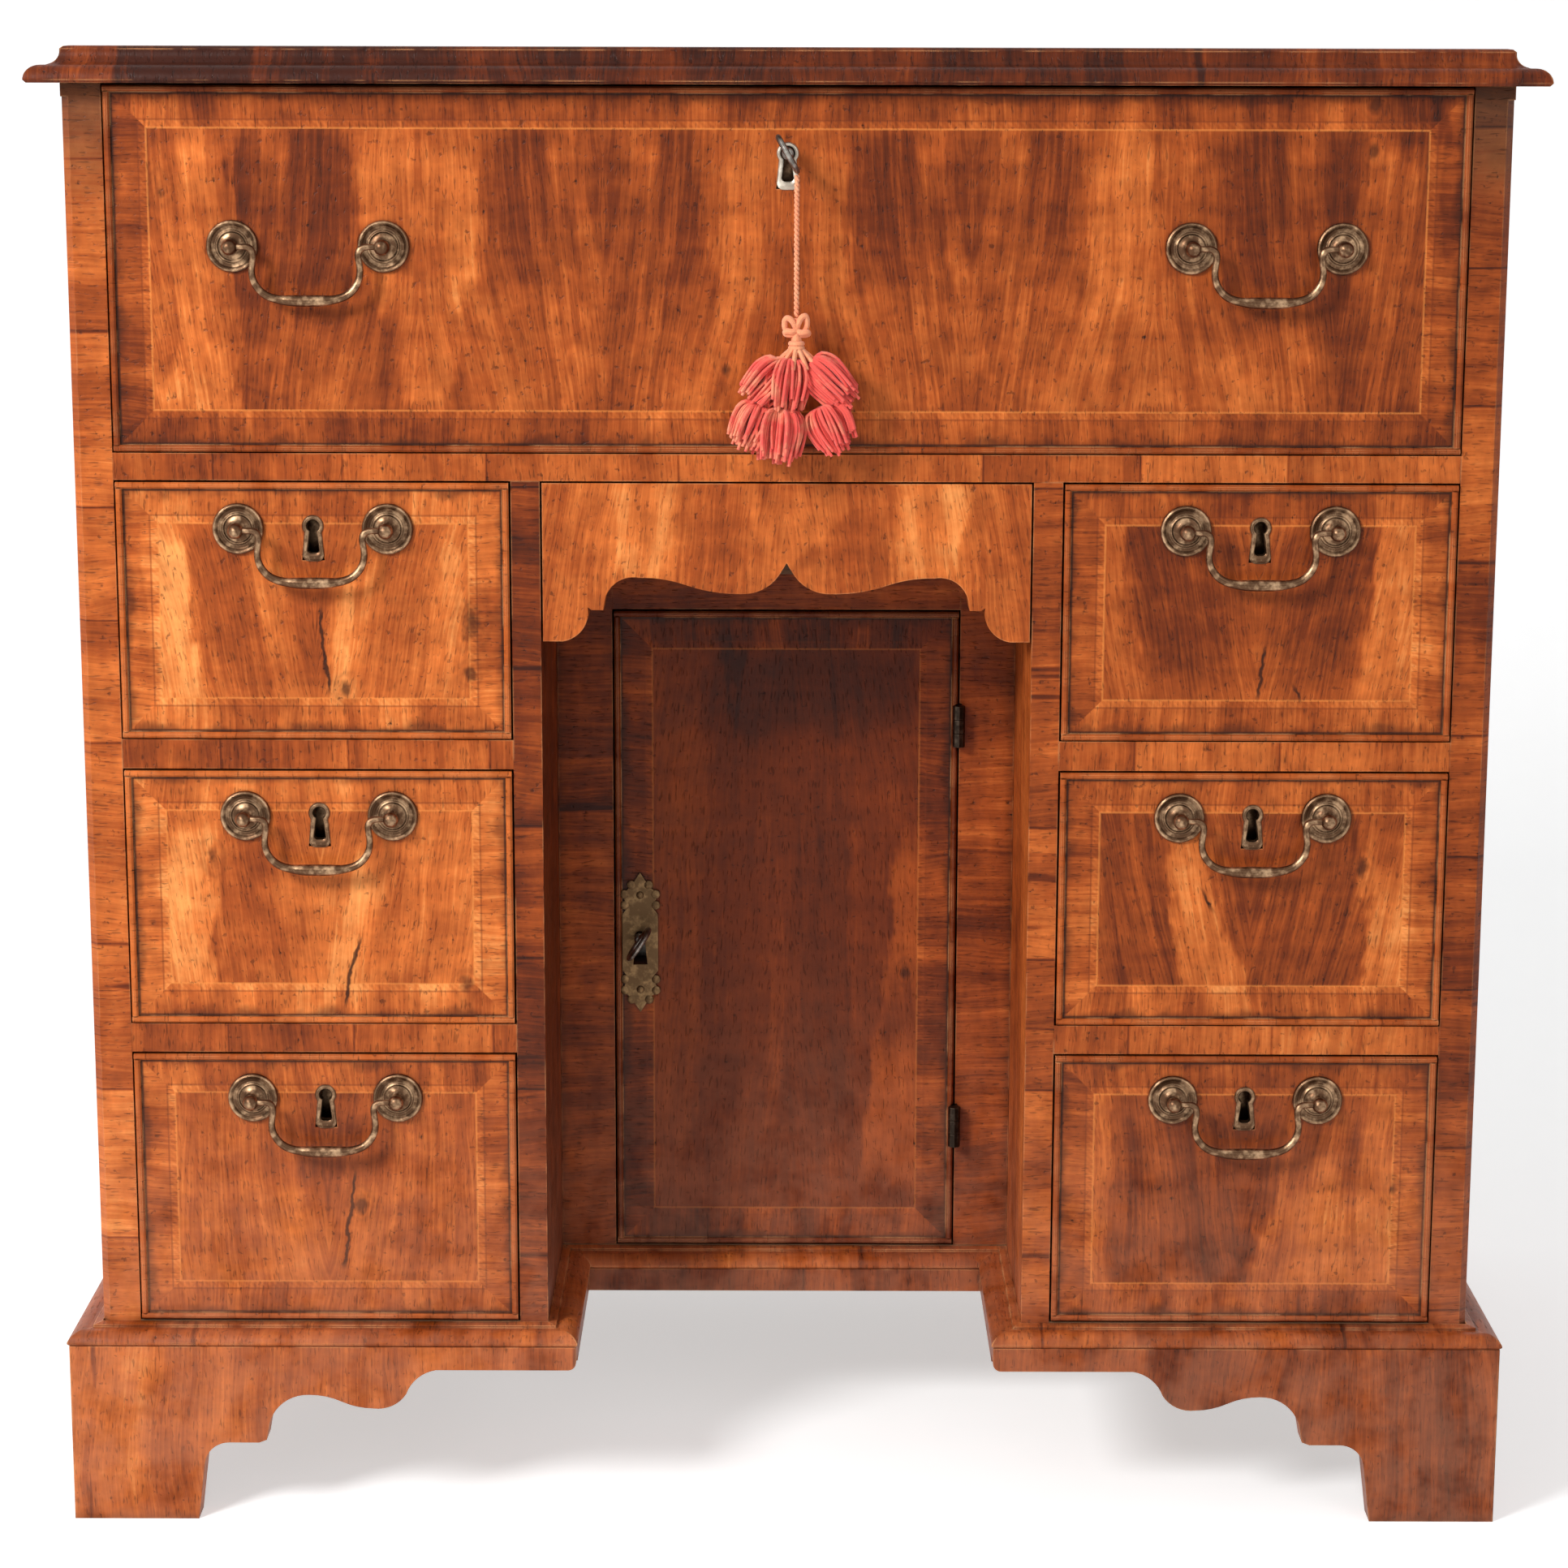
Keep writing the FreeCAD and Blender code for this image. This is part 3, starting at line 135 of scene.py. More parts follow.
def piece_of(name, mesh, material, place, body, replaced=()):
    """Hang a mesh in the scene, give it a finish and let it ride on a body of the desk."""
    piece = bpy.data.objects.new(name, mesh)
    bpy.context.scene.collection.objects.link(piece)
    piece.location = place
    if not mesh.materials:
        mesh.materials.append(material)
    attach(piece, body)
    if replaced:
        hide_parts(*replaced)
    return piece


# %% [markdown]
# The string of the key hangs straight down from the ring, pulled taut by the tassel's weight. It is a
# doubled, twisted yarn. Its line is a NURBS curve with a few control points, the same line that the
# desk's own plain cord has, and two strands are wound round that line. A single smooth tube would be
# quicker, but it would look like wire.

# %% The key's string
ring_point = Vector((4.75, -234.25, 737.773))
string_top = ring_point - Vector((0, 0, 2.6))
string_length = 72
string_width = 2.4
string_route = [string_top - Vector((0, 0, string_length * share)) for share in (0, 0.3, 0.7, 1)]


def smooth_line(points, order=3, steps=16):
    """Points along a NURBS curve that has the given control points."""
    curve = bpy.data.curves.new("route", "CURVE")
    curve.dimensions = "3D"
    curve.resolution_u = steps
    spline = curve.splines.new("NURBS")
    spline.points.add(len(points) - 1)
    for target, point in zip(spline.points, points):
        target.co = (*point, 1)
    spline.order_u = order
    spline.use_endpoint_u = True
    holder = bpy.data.objects.new("route", curve)
    bpy.context.scene.collection.objects.link(holder)
    bpy.context.view_layer.update()
    mesh = bpy.data.meshes.new_from_object(holder.evaluated_get(bpy.context.evaluated_depsgraph_get()))
    line = [vertex.co.copy() for vertex in mesh.vertices]
    bpy.data.meshes.remove(mesh)
    bpy.data.objects.remove(holder)
    bpy.data.curves.remove(curve)
    return line


def tube(pile, line, radius, sides=6, looped=False):
    """A round rod along a line. radius is a number, or one number for each point of the line."""
    radii = radius if isinstance(radius, list) else [radius] * len(line)
    rows = []
    side_way = None
    for number, point in enumerate(line):
        before = line[number - 1] if number or looped else point
        after = line[(number + 1) % len(line)] if number + 1 < len(line) or looped else point
        along = (after - before).normalized()
        if side_way is None:
            side_way = along.orthogonal().normalized()
        side_way = (side_way - along * side_way.dot(along)).normalized()
        up_way = along.cross(side_way)
        turns = [2 * math.pi * step / sides for step in range(sides)]
        rows.append([
            point + (side_way * math.cos(turn) + up_way * math.sin(turn)) * radii[number] for turn in turns
        ])
    pile.rings(rows, looped=looped)


def wound(line, offset, twist, phase):
    """A strand that winds round a line: it stays at an offset and turns once in every twist of length."""
    strand = []
    travelled = 0
    for number, point in enumerate(line):
        if number:
            travelled += (point - line[number - 1]).length
        turn = 2 * math.pi * travelled / twist + phase
        strand.append(point + Vector((math.cos(turn), math.sin(turn), 0)) * offset)
    return strand


string_line = smooth_line(string_route, steps=40)
string_pile = Pile()
for phase in (0, math.pi):
    tube(string_pile, wound(string_line, string_width * 0.28, 5, phase), string_width * 0.34, 6)
string_mesh = string_pile.mesh("key_string")
print("string of", len(string_line), "points,", string_length, "mm long")

# %% [markdown]
# Finishes are written as short formulas. A Spread is a number that varies over a surface, and each sum or
# product of spreads adds one math node to the material. The same could be wired by hand in the shader
# editor, but a formula is easier to read and to repeat on eight drawers.

# %% Formulas for finishes
def linear(red, green, blue):
    """A colour from a paint chart, 0 to 255, as the light values that shaders use."""
    def channel(value):
        share = value / 255
        return share / 12.92 if share <= 0.04045 else ((share + 0.055) / 1.055) ** 2.4
    return (channel(red), channel(green), channel(blue), 1)


class Spread:
    """A number that varies over a surface, held as the output of a shader node."""

    def __init__(self, tree, socket):
        self.tree = tree
        self.socket = socket

    def math(self, operation, *others):
        node = self.tree.nodes.new("ShaderNodeMath")
        node.operation = operation
        for slot, value in zip(node.inputs, (self, *others)):
            feed(self.tree, value, slot)
        return Spread(self.tree, node.outputs[0])

    def __add__(self, other):
        return self.math("ADD", other)

    def __sub__(self, other):
        return self.math("SUBTRACT", other)

    def __rsub__(self, other):
        return (self * -1) + other

    def __mul__(self, other):
        return self.math("MULTIPLY", other)

    def least(self, other):
        return self.math("MINIMUM", other)

    def size(self):
        return self.math("ABSOLUTE")

    def ease(self, low, high):
        """0 under low, 1 over high and a soft step between them. low may lie over high."""
        node = self.tree.nodes.new("ShaderNodeMapRange")
        node.interpolation_type = "SMOOTHSTEP"
        for slot, value in zip(node.inputs, (self, low, high)):
            feed(self.tree, value, slot)
        return Spread(self.tree, node.outputs[0])


def feed(tree, value, slot):
    if isinstance(value, Spread):
        tree.links.new(value.socket, slot)
    else:
        slot.default_value = value


def vector_of(tree, x, y, z):
    node = tree.nodes.new("ShaderNodeCombineXYZ")
    for slot, value in zip(node.inputs, (x, y, z)):
        feed(tree, value, slot)
    return node.outputs[0]


print("spreads can be added, multiplied and eased")

# %% [markdown]
# No two hand's breadths of old wood are alike, so every finish starts from noise: smooth lumps for stains
# and grain, and fixed chances for pieces of veneer that differ. Painted pictures could give the same, but
# noise has no edge and no size, and it covers a drawer and a handle alike.

# %% Noise and colour
def cloud(tree, vector, scale, detail=2.0, roughness=0.5):
    """Noise from 0 to 1 whose lumps are about 1 / scale wide."""
    node = tree.nodes.new("ShaderNodeTexNoise")
    tree.links.new(vector, node.inputs["Vector"])
    for slot, value in (("Scale", scale), ("Detail", detail), ("Roughness", roughness)):
        node.inputs[slot].default_value = value
    return Spread(tree, node.outputs[0])


def chance(tree, number):
    """A fixed random value from 0 to 1 for each whole number."""
    node = tree.nodes.new("ShaderNodeTexWhiteNoise")
    node.noise_dimensions = "1D"
    tree.links.new(number.socket, node.inputs["W"])
    return Spread(tree, node.outputs["Value"])


def mixed(tree, share, first, second):
    """A colour between two colours, each a socket or a fixed colour."""
    node = tree.nodes.new("ShaderNodeMix")
    node.data_type = "RGBA"
    feed(tree, share, node.inputs[0])
    for slot, colour in ((node.inputs[6], first), (node.inputs[7], second)):
        if isinstance(colour, tuple):
            slot.default_value = colour
        else:
            tree.links.new(colour, slot)
    return node.outputs[2]


def shaded(tree, colour, share):
    """A colour made darker or lighter by a spread that is 1 where nothing changes."""
    node = tree.nodes.new("ShaderNodeMix")
    node.data_type = "RGBA"
    node.blend_type = "MULTIPLY"
    node.inputs[0].default_value = 1
    tree.links.new(colour, node.inputs[6])
    grey = vector_of(tree, share, share, share)
    tree.links.new(grey, node.inputs[7])
    return node.outputs[2]


def ramp(tree, share, stops):
    node = tree.nodes.new("ShaderNodeValToRGB")
    feed(tree, share, node.inputs[0])
    while len(node.color_ramp.elements) < len(stops):
        node.color_ramp.elements.new(0.5)
    for element, (position, colour) in zip(node.color_ramp.elements, stops):
        element.position = position
        element.color = colour
    return node.outputs[0]


def new_finish(name):
    finish = bpy.data.materials.new(name)
    finish.use_nodes = True
    tree = finish.node_tree
    shader = tree.nodes["Principled BSDF"]
    return finish, tree, shader


print("noise can be mixed into colour")

# %% [markdown]
# Old wood changes in certain places: edges are rubbed bright and also carry a painted highlight, corners
# are darkened by painted shade, and the end of a board looks different from its side. Those places could
# be painted by hand. Here the renderer is asked how a face lies and what is near it, so that the marks
# stay right when a board changes.

# %% Places, edges and corners
ACROSS, DEEP, UP = range(3)


def coordinates(tree):
    """Place on the desk in metres: across, front to back, and up."""
    source = tree.nodes.new("ShaderNodeTexCoord")
    parts = tree.nodes.new("ShaderNodeSeparateXYZ")
    tree.links.new(source.outputs["Object"], parts.inputs[0])
    return [Spread(tree, socket) for socket in parts.outputs]


def facing(tree):
    """How far a surface faces along each axis, whichever way round."""
    source = tree.nodes.new("ShaderNodeNewGeometry")
    parts = tree.nodes.new("ShaderNodeSeparateXYZ")
    tree.links.new(source.outputs["True Normal"], parts.inputs[0])
    return [Spread(tree, socket).size() for socket in parts.outputs]


def edge_share(tree, radius):
    """1 at sharp edges and 0 on flat faces, from how far a rounded normal leaves the true one."""
    soft = tree.nodes.new("ShaderNodeBevel")
    soft.samples = 4
    soft.inputs["Radius"].default_value = radius
    true = tree.nodes.new("ShaderNodeNewGeometry")
    compare = tree.nodes.new("ShaderNodeVectorMath")
    compare.operation = "DOT_PRODUCT"
    tree.links.new(soft.outputs[0], compare.inputs[0])
    tree.links.new(true.outputs["True Normal"], compare.inputs[1])
    return Spread(tree, compare.outputs["Value"]).ease(0.995, 0.85)


def corner_share(tree, reach):
    """1 deep in a corner and 0 in the open, from occlusion: painted shade on wood and wool, tarnish on metal.
    """
    node = tree.nodes.new("ShaderNodeAmbientOcclusion")
    node.samples = 6
    node.inputs["Distance"].default_value = reach
    return Spread(tree, node.outputs["AO"]).ease(0.9, 0.35)


def relief(tree, shader, height, distance, strength=1.0):
    """Raise and sink the surface by a spread, over edges that are softly rounded."""
    soft = tree.nodes.new("ShaderNodeBevel")
    soft.samples = 4
    soft.inputs["Radius"].default_value = 0.0007
    node = tree.nodes.new("ShaderNodeBump")
    node.inputs["Strength"].default_value = strength
    node.inputs["Distance"].default_value = distance
    tree.links.new(height.socket, node.inputs["Height"])
    tree.links.new(soft.outputs[0], node.inputs["Normal"])
    tree.links.new(node.outputs[0], shader.inputs["Normal"])


print("formulas are ready")

# %% [markdown]
# Walnut veneer has three scales of pattern: broad clouds where the tree's heartwood runs dark, streaks a
# few millimetres wide along the grain, and short dark pores like pencil ticks. Each is noise that is
# stretched along the grain. A picture of wood would be quicker, but it would repeat and could not turn
# with the grain at a crossbanded edge.

# %% Walnut
WALNUT_DEEP = linear(58, 21, 7)
WALNUT_DARK = linear(112, 46, 15)
WALNUT_MIDDLE = linear(163, 76, 28)
WALNUT_LIGHT = linear(208, 110, 48)
WALNUT_GOLD = linear(246, 156, 84)


def walnut_pattern(tree, across, along, seed, broad=20.0):
    """Tone round 0.5, dark under it and light over it, and the share of pores, for grain along one way."""
    drift = (cloud(tree, vector_of(tree, across, along * 0.45, seed), 7.0) - 0.5) * 0.05
    waver = (cloud(tree, vector_of(tree, across, along * 0.5, seed), 34.0) - 0.5) * 0.006
    bent = across + drift + waver
    flame = cloud(tree, vector_of(tree, bent, along * 0.10, seed), broad, 2.0, 0.5).ease(0.36, 0.64)
    streaks = cloud(tree, vector_of(tree, bent, along * 0.05, seed), 120.0, 3.0, 0.6)
    fibres = cloud(tree, vector_of(tree, bent, along * 0.035, seed), 620.0, 2.0, 0.6)
    mottle = cloud(tree, vector_of(tree, across * 0.5, along, seed), 62.0, 3.0, 0.6)
    ticks = cloud(tree, vector_of(tree, across, along * 0.16, seed), 850.0, 1.0, 0.5)
    broad_tone = (flame - 0.5) * 0.22 + (streaks - 0.5) * 0.6
    tone = broad_tone + (fibres - 0.5) * 0.5 + (mottle - 0.5) * 0.42 + 0.5
    pores = ticks.ease(0.60, 0.72)
    return tone, pores


def checks(tree, across, along, seed):
    """Fine dark cracks that old veneer gets along its grain."""
    return cloud(tree, vector_of(tree, across, along * 0.07, seed + 2.7), 95.0, 2.0, 0.4).ease(0.70, 0.76)


def walnut_colour(tree, tone):
    return ramp(tree, tone, [
        (0.0, WALNUT_DEEP), (0.26, WALNUT_DARK), (0.5, WALNUT_MIDDLE),
        (0.74, WALNUT_LIGHT), (1.0, WALNUT_GOLD),
    ])


print("walnut has five tones")

# %% [markdown]
# The desk has been waxed and handled for a very long time. Wax lies unevenly, so the shine breaks up over
# pores and dents. Towards the floor the wood is paler, both scuffed and lit by painted light from the
# floor. Worn edges carry a painted highlight, and corners a painted shade. A single even gloss would be
# simpler, but it would look like plastic.

# %% Wax
def waxed(tree, shader, colour, pores, wear_and_highlight=0.6):
    """Wax over a worn surface: dull in the pores, with a painted highlight on worn edges and painted shade in
    corners.
    """
    x, y, z = coordinates(tree)
    place = vector_of(tree, x, y, z)
    marks = cloud(tree, place, 38.0, 3.0, 0.65)
    specks = cloud(tree, place, 300.0, 2.0, 0.55).ease(0.64, 0.74)
    dents = cloud(tree, place, 110.0, 3.0, 0.6)
    shade = (marks - 0.5) * 0.6 + (dents - 0.5) * 0.7 + 1.03 - pores * 0.42 - specks * 0.5
    colour = shaded(tree, colour, shade)
    # Painted shade: darker where corners hem the surface in.
    corner_shade = corner_share(tree, 0.009)
    colour = mixed(tree, corner_shade * 0.6, colour, linear(34, 14, 6))
    # Paler and pinker towards the floor: scuffs, and painted light thrown up by the pale floor.
    colour = mixed(tree, z.ease(0.32, 0.02) * marks.ease(0.25, 0.65) * 0.34, colour, linear(188, 128, 100))
    # Edges are lightened as worn wood and as a painted highlight.
    worn_and_highlit = edge_share(tree, 0.0012) * marks.ease(0.40, 0.60)
    colour = mixed(tree, worn_and_highlit * wear_and_highlight, colour, linear(236, 164, 108))
    tree.links.new(colour, shader.inputs["Base Color"])
    rough = (marks - 0.5) * 0.25 + 0.42 + pores * 0.12
    tree.links.new(rough.socket, shader.inputs["Roughness"])
    shader.inputs["Specular IOR Level"].default_value = 0.16
    shader.inputs["Coat Weight"].default_value = 0.03
    shader.inputs["Coat Roughness"].default_value = 0.2
    relief(tree, shader, dents - pores * 0.5 - specks * 0.5, 0.0005, 0.7)


print("wax is ready")

# %% [markdown]
# The case is crossbanded: strips of veneer laid with their grain across the rail or post, in pieces a
# hand's breadth long, each a little lighter or darker than the next. The direction of the grain follows
# from which way a face looks and which way its board runs.

# %% Crossbanded case
def banded_finish(name, length_axis, seed, piece_length=0.075, lift=0.0, lean=0.0, wear_and_highlight=0.6):
    """Cross-grained walnut in pieces along an axis.

    lean makes it darker towards the right, as painted shade, and rub is how bright its edges are made,
    as wear and as a painted highlight.
    """
    finish, tree, shader = new_finish(name)
    spots = coordinates(tree)
    along_board = spots[length_axis]
    others = [spots[axis] for axis in range(3) if axis != length_axis]
    grain_way = others[0] + others[1]
    wander = cloud(tree, vector_of(tree, along_board, 0.0, seed), 5.0)
    run = along_board * (1 / piece_length) + wander * 1.6 + seed
    luck = chance(tree, run.math("FLOOR"))
    tone, pores = walnut_pattern(tree, along_board, grain_way, luck * 9.0, 22.0)
    line = (run.math("FRACT") - 0.5).size().ease(0.488, 0.498)
    tone = tone * 0.8 + luck * 0.24 - 0.02 + lift - line * 0.22 - spots[ACROSS] * lean
    waxed(tree, shader, walnut_colour(tree, tone), pores, wear_and_highlight)
    return finish


def plain_walnut(name, grain_axis, seed, lift=0.0, lean=0.0):
    """Long-grained walnut for feet and broad boards. lean darkens it towards the right as painted shade."""
    finish, tree, shader = new_finish(name)
    spots = coordinates(tree)
    others = [spots[axis] for axis in range(3) if axis != grain_axis]
    across, along = others[0] + others[1], spots[grain_axis]
    tone, pores = walnut_pattern(tree, across, along, seed)
    tone = tone + lift - spots[ACROSS] * lean - checks(tree, across, along, seed) * 0.35
    waxed(tree, shader, walnut_colour(tree, tone), pores)
    return finish


def dress(finish, *names):
    for name in names:
        mesh = nodes[name].data
        mesh.materials.clear()
        mesh.materials.append(finish)


print("rails are crossbanded and boards are long-grained")

# %% [markdown]
# A post of the case shows two grains on one board: short crossbanding on its narrow front edge and long
# grain on its broad side. It could be built as two boards, but then their joint would have to be hidden.
# One finish that looks at the way a face points needs no joint.

# %% Posts of the case
def stile_finish(name, seed, lift, lean=0.0, grime=0.0):
    """A post of the case: crossbanded on its front edge and long-grained on its broad sides.

    lean makes it lighter towards the right: darker wood and painted shade on the kneehole's left side,
    and grime darkens the head of its front under the top.
    """
    finish, tree, shader = new_finish(name)
    x, y, z = coordinates(tree)
    front = facing(tree)[DEEP].ease(0.5, 0.8)
    wander = cloud(tree, vector_of(tree, z, 0.0, seed), 5.0)
    run = z * 12.0 + wander * 1.8 + seed
    luck = chance(tree, run.math("FLOOR"))
    cross, cross_pores = walnut_pattern(tree, z, x + y, luck * 9.0, 24.0)
    seam = (run.math("FRACT") - 0.5).size().ease(0.485, 0.498)
    cross = cross * 0.85 + luck * 0.20 - 0.02 - seam * 0.3 - checks(tree, z, x + y, seed) * 0.35
    board, board_pores = walnut_pattern(tree, y + x, z, seed, 11.0)
    tone = board + (cross - board) * front + lift + x * lean
    pores = board_pores + (cross_pores - board_pores) * front
    under_top = (z + (cross - 0.5) * 0.08).ease(0.70, 0.775) * front * grime
    colour = mixed(tree, under_top, walnut_colour(tree, tone), linear(62, 50, 34))
    waxed(tree, shader, colour, pores)
    return finish


print("posts have two grains")

# %% [markdown]
# Each board of the case gets its own piece of wood. The right of the desk and the kneehole are darker, a
# painted shade where the light from the upper left reaches less, and the edge of the top is the darkest
# of all. One finish for the whole case would be quicker, but its boards would run into each other.

# %% Dress the case
# Painted shade: the right post and the boards of the kneehole are set darker than the left post.
left_post = stile_finish("left_post_walnut", seed=3.1, lift=0.08, grime=0.7)
right_post = stile_finish("right_post_walnut", seed=7.7, lift=-0.12, grime=0.7)
kneehole_post = stile_finish("kneehole_post_walnut", seed=5.3, lift=-0.12, lean=0.8)
# The top edge and the base get the brightest edges, a painted highlight along them, and the base and the feet
# grow darker to the right as painted shade.
rail = banded_finish("rail_walnut", ACROSS, seed=2.0, piece_length=0.085, lift=0.07)
top_edge = banded_finish("top_edge_walnut", ACROSS, seed=4.4, piece_length=0.26, lift=-0.38, wear_and_highlight=1.0)
base = banded_finish("base_walnut", ACROSS, seed=6.1, piece_length=0.16, lift=-0.03, lean=0.2, wear_and_highlight=0.9)
plinth = banded_finish("plinth_walnut", ACROSS, seed=9.1, piece_length=0.16, lift=-0.22)
top = plain_walnut("top_walnut", ACROSS, seed=8.0, lift=-0.08)
foot = plain_walnut("foot_walnut", UP, seed=11.0, lift=-0.03, lean=0.42)
cupboard_frame = plain_walnut("frame_walnut", ACROSS, seed=13.0, lift=-0.12)
dress(left_post, "left_side_panel")
dress(right_post, "right_side_panel")
dress(kneehole_post, "kneehole_sides")
dress(rail, "long_drawer_rail", "drawer_blades")
dress(top_edge, "top_edge_moulding")
dress(base, "base_moulding")
dress(plinth, "kneehole_plinth")
dress(top, "top_board")
dress(foot, "front_bracket_feet", "side_bracket_feet")
dress(cupboard_frame, "cupboard_face_frame")
print("the case is banded")

# %% [markdown]
# Inside, the desk is plain oak and pine that was never polished: dry, pale and a little grey. It is seen
# only when a drawer is pulled or from behind.

# %% Dry secondary wood
def dry_wood(name, grain_axis, seed, pale, deep):
    finish, tree, shader = new_finish(name)
    spots = coordinates(tree)
    others = [spots[axis] for axis in range(3) if axis != grain_axis]
    tone, pores = walnut_pattern(tree, others[0] + others[1], spots[grain_axis], seed, 18.0)
    crossed, crossed_pores = walnut_pattern(tree, others[1], others[0], seed + 3, 18.0)
    on_end = facing(tree)[grain_axis].ease(0.5, 0.8)
    tone = tone + (crossed - tone) * on_end
    pores = pores + (crossed_pores - pores) * on_end
    colour = mixed(tree, tone.ease(0.1, 0.9), deep, pale)
    colour = shaded(tree, colour, 1.0 - pores * 0.25)
    # Painted shade: darker where corners hem the surface in.
    colour = mixed(tree, corner_share(tree, 0.02) * 0.6, colour, linear(58, 42, 28))
    tree.links.new(colour, shader.inputs["Base Color"])
    tree.links.new((pores * 0.1 + 0.72).socket, shader.inputs["Roughness"])
    relief(tree, shader, pores * -1.0, 0.0003, 0.7)
    return finish


oak_pale, oak_deep = linear(190, 140, 92), linear(126, 80, 46)
pine_pale, pine_deep = linear(160, 114, 74), linear(102, 66, 40)
drawer_boxes = [name for name in nodes if name.endswith("_box")]
dress(dry_wood("drawer_oak", DEEP, 1.0, oak_pale, oak_deep), *drawer_boxes)
dress(dry_wood("carcase_pine_across", ACROSS, 2.0, pine_pale, pine_deep), "back_boards", "kneehole_soffit")
dress(dry_wood("carcase_pine_deep", DEEP, 3.0, pine_pale, pine_deep), "dust_boards", "bottom_boards")
dress(dry_wood("carcase_pine_upright", UP, 4.0, pine_pale, pine_deep), "foot_blocks", "rear_bracket_feet")
print(len(drawer_boxes), "drawer boxes are oak")

# %% [markdown]
# A drawer front is a picture in a frame: leaves of figured veneer opened like a book, a narrow inlaid
# line round them, and a crossbanded border whose grain runs out to the edge. The distance to the nearest
# edge tells which of the three a point belongs to, so one formula serves every front. The larger light
# and dark flames, the knots and the cracks are listed one by one, because no noise would put them where
# this desk has them.

# %% Veneered fronts
INLAY_LIGHT = linear(232, 140, 68)
INLAY_DARK = linear(120, 52, 22)
PATINA = linear(46, 19, 8)
BEAD_WIDTH = 0.0034
BORDER_WIDTH = 0.0175
LINE_WIDTH = 0.0042
STRING_WIDTH = 0.0006
WEAVE_WIDTH = 0.0018
LINE_BLUR = 0.0001
BEAD_BLUR = 0.0002


@dataclass
class Front:
    """Where a veneered front lies and how its figure runs.

    vivid scales the fine grain and the inlay, and figure scales the patches. A patch is a tone in
    hundredths, then in millimetres its low and high levels, its left and right sides at the low level,
    and those at the high level. Knots are (x, z, radius) and cracks (x, bottom, top, lean), in metres.
    """

    node: str
    leaf: float
    slant: float
    seed: float
    lift: float = 0.0
    vivid: float = 1.0
    figure: float = 1.15
    patches: Sequence = ()
    knots: Sequence = ()
    cracks: Sequence = ()


print("a front has a border of", BORDER_WIDTH / MILLIMETRE, "mm")

# %% [markdown]
# The broad flames of the veneer are patches: upright strips, lighter or darker than the rest, with sides
# that fray along the grain. They could be drawn node by node, but one small group of nodes, drawn once
# and used for every patch, keeps the materials readable.

# %% Patches of figure
PATCH_INPUTS = ("Across", "Level", "Low", "High", "Left Foot", "Left Slope", "Right Foot", "Right Slope",
                "Tone", "Sum")
SOFT_END = 0.015
SOFT_SIDE = 0.0035


def patch_group():
    """One node that adds the tone of one patch to a sum. It is drawn once and used in every front."""
    group = bpy.data.node_groups.new("figure_patch", "ShaderNodeTree")
    for name in PATCH_INPUTS:
        group.interface.new_socket(name, in_out="INPUT", socket_type="NodeSocketFloat")
    group.interface.new_socket("Sum", in_out="OUTPUT", socket_type="NodeSocketFloat")
    source = group.nodes.new("NodeGroupInput")
    across, level, low, high, left, left_slope, right, right_slope, tone, total = [
        Spread(group, socket) for socket in source.outputs[:len(PATCH_INPUTS)]
    ]
    inside = (level - low).ease(-SOFT_END, SOFT_END) * (high - level).ease(-SOFT_END, SOFT_END)
    inside = inside * (across - left - level * left_slope).ease(-SOFT_SIDE, SOFT_SIDE)
    inside = inside * (right + level * right_slope - across).ease(-SOFT_SIDE, SOFT_SIDE)
    result = group.nodes.new("NodeGroupOutput")
    group.links.new((total + inside * tone).socket, result.inputs[0])
    return group


figure_patch = patch_group()


def patched(tree, x, z, patches):
    """The sum of the patches' tones, with sides frayed along the grain."""
    place = vector_of(tree, x, 0.0, z)
    stretched = vector_of(tree, x, 0.0, z * 0.25)
    frayed = x + (cloud(tree, place, 24.0, 3.0, 0.6) - 0.5) * 0.024
    frayed = frayed + (cloud(tree, stretched, 160.0, 2.0) - 0.5) * 0.018
    level = z + (cloud(tree, stretched, 45.0, 2.0) - 0.5) * 0.05
    total = 0.0
    for hundredths, *lengths in patches:
        low, high, left_foot, right_foot, left_head, right_head = [length / 1000 for length in lengths]
        left_slope = (left_head - left_foot) / (high - low)
        right_slope = (right_head - right_foot) / (high - low)
        node = tree.nodes.new("ShaderNodeGroup")
        node.node_tree = figure_patch
        values = (frayed, level, low, high, left_foot - left_slope * low, left_slope,
                  right_foot - right_slope * low, right_slope, hundredths / 100, total)
        for slot, value in zip(node.inputs, values):
            feed(tree, value, slot)
        total = Spread(tree, node.outputs[0])
    return total


print("a patch has", len(PATCH_INPUTS), "inputs")

# %% [markdown]
# Knots and cracks are what the eye remembers of a drawer front. A knot is a dark spot with a ring round
# it, and a crack is a thin dark line that wanders along the grain. They could be cut into the mesh, but
# at this size colour is enough.

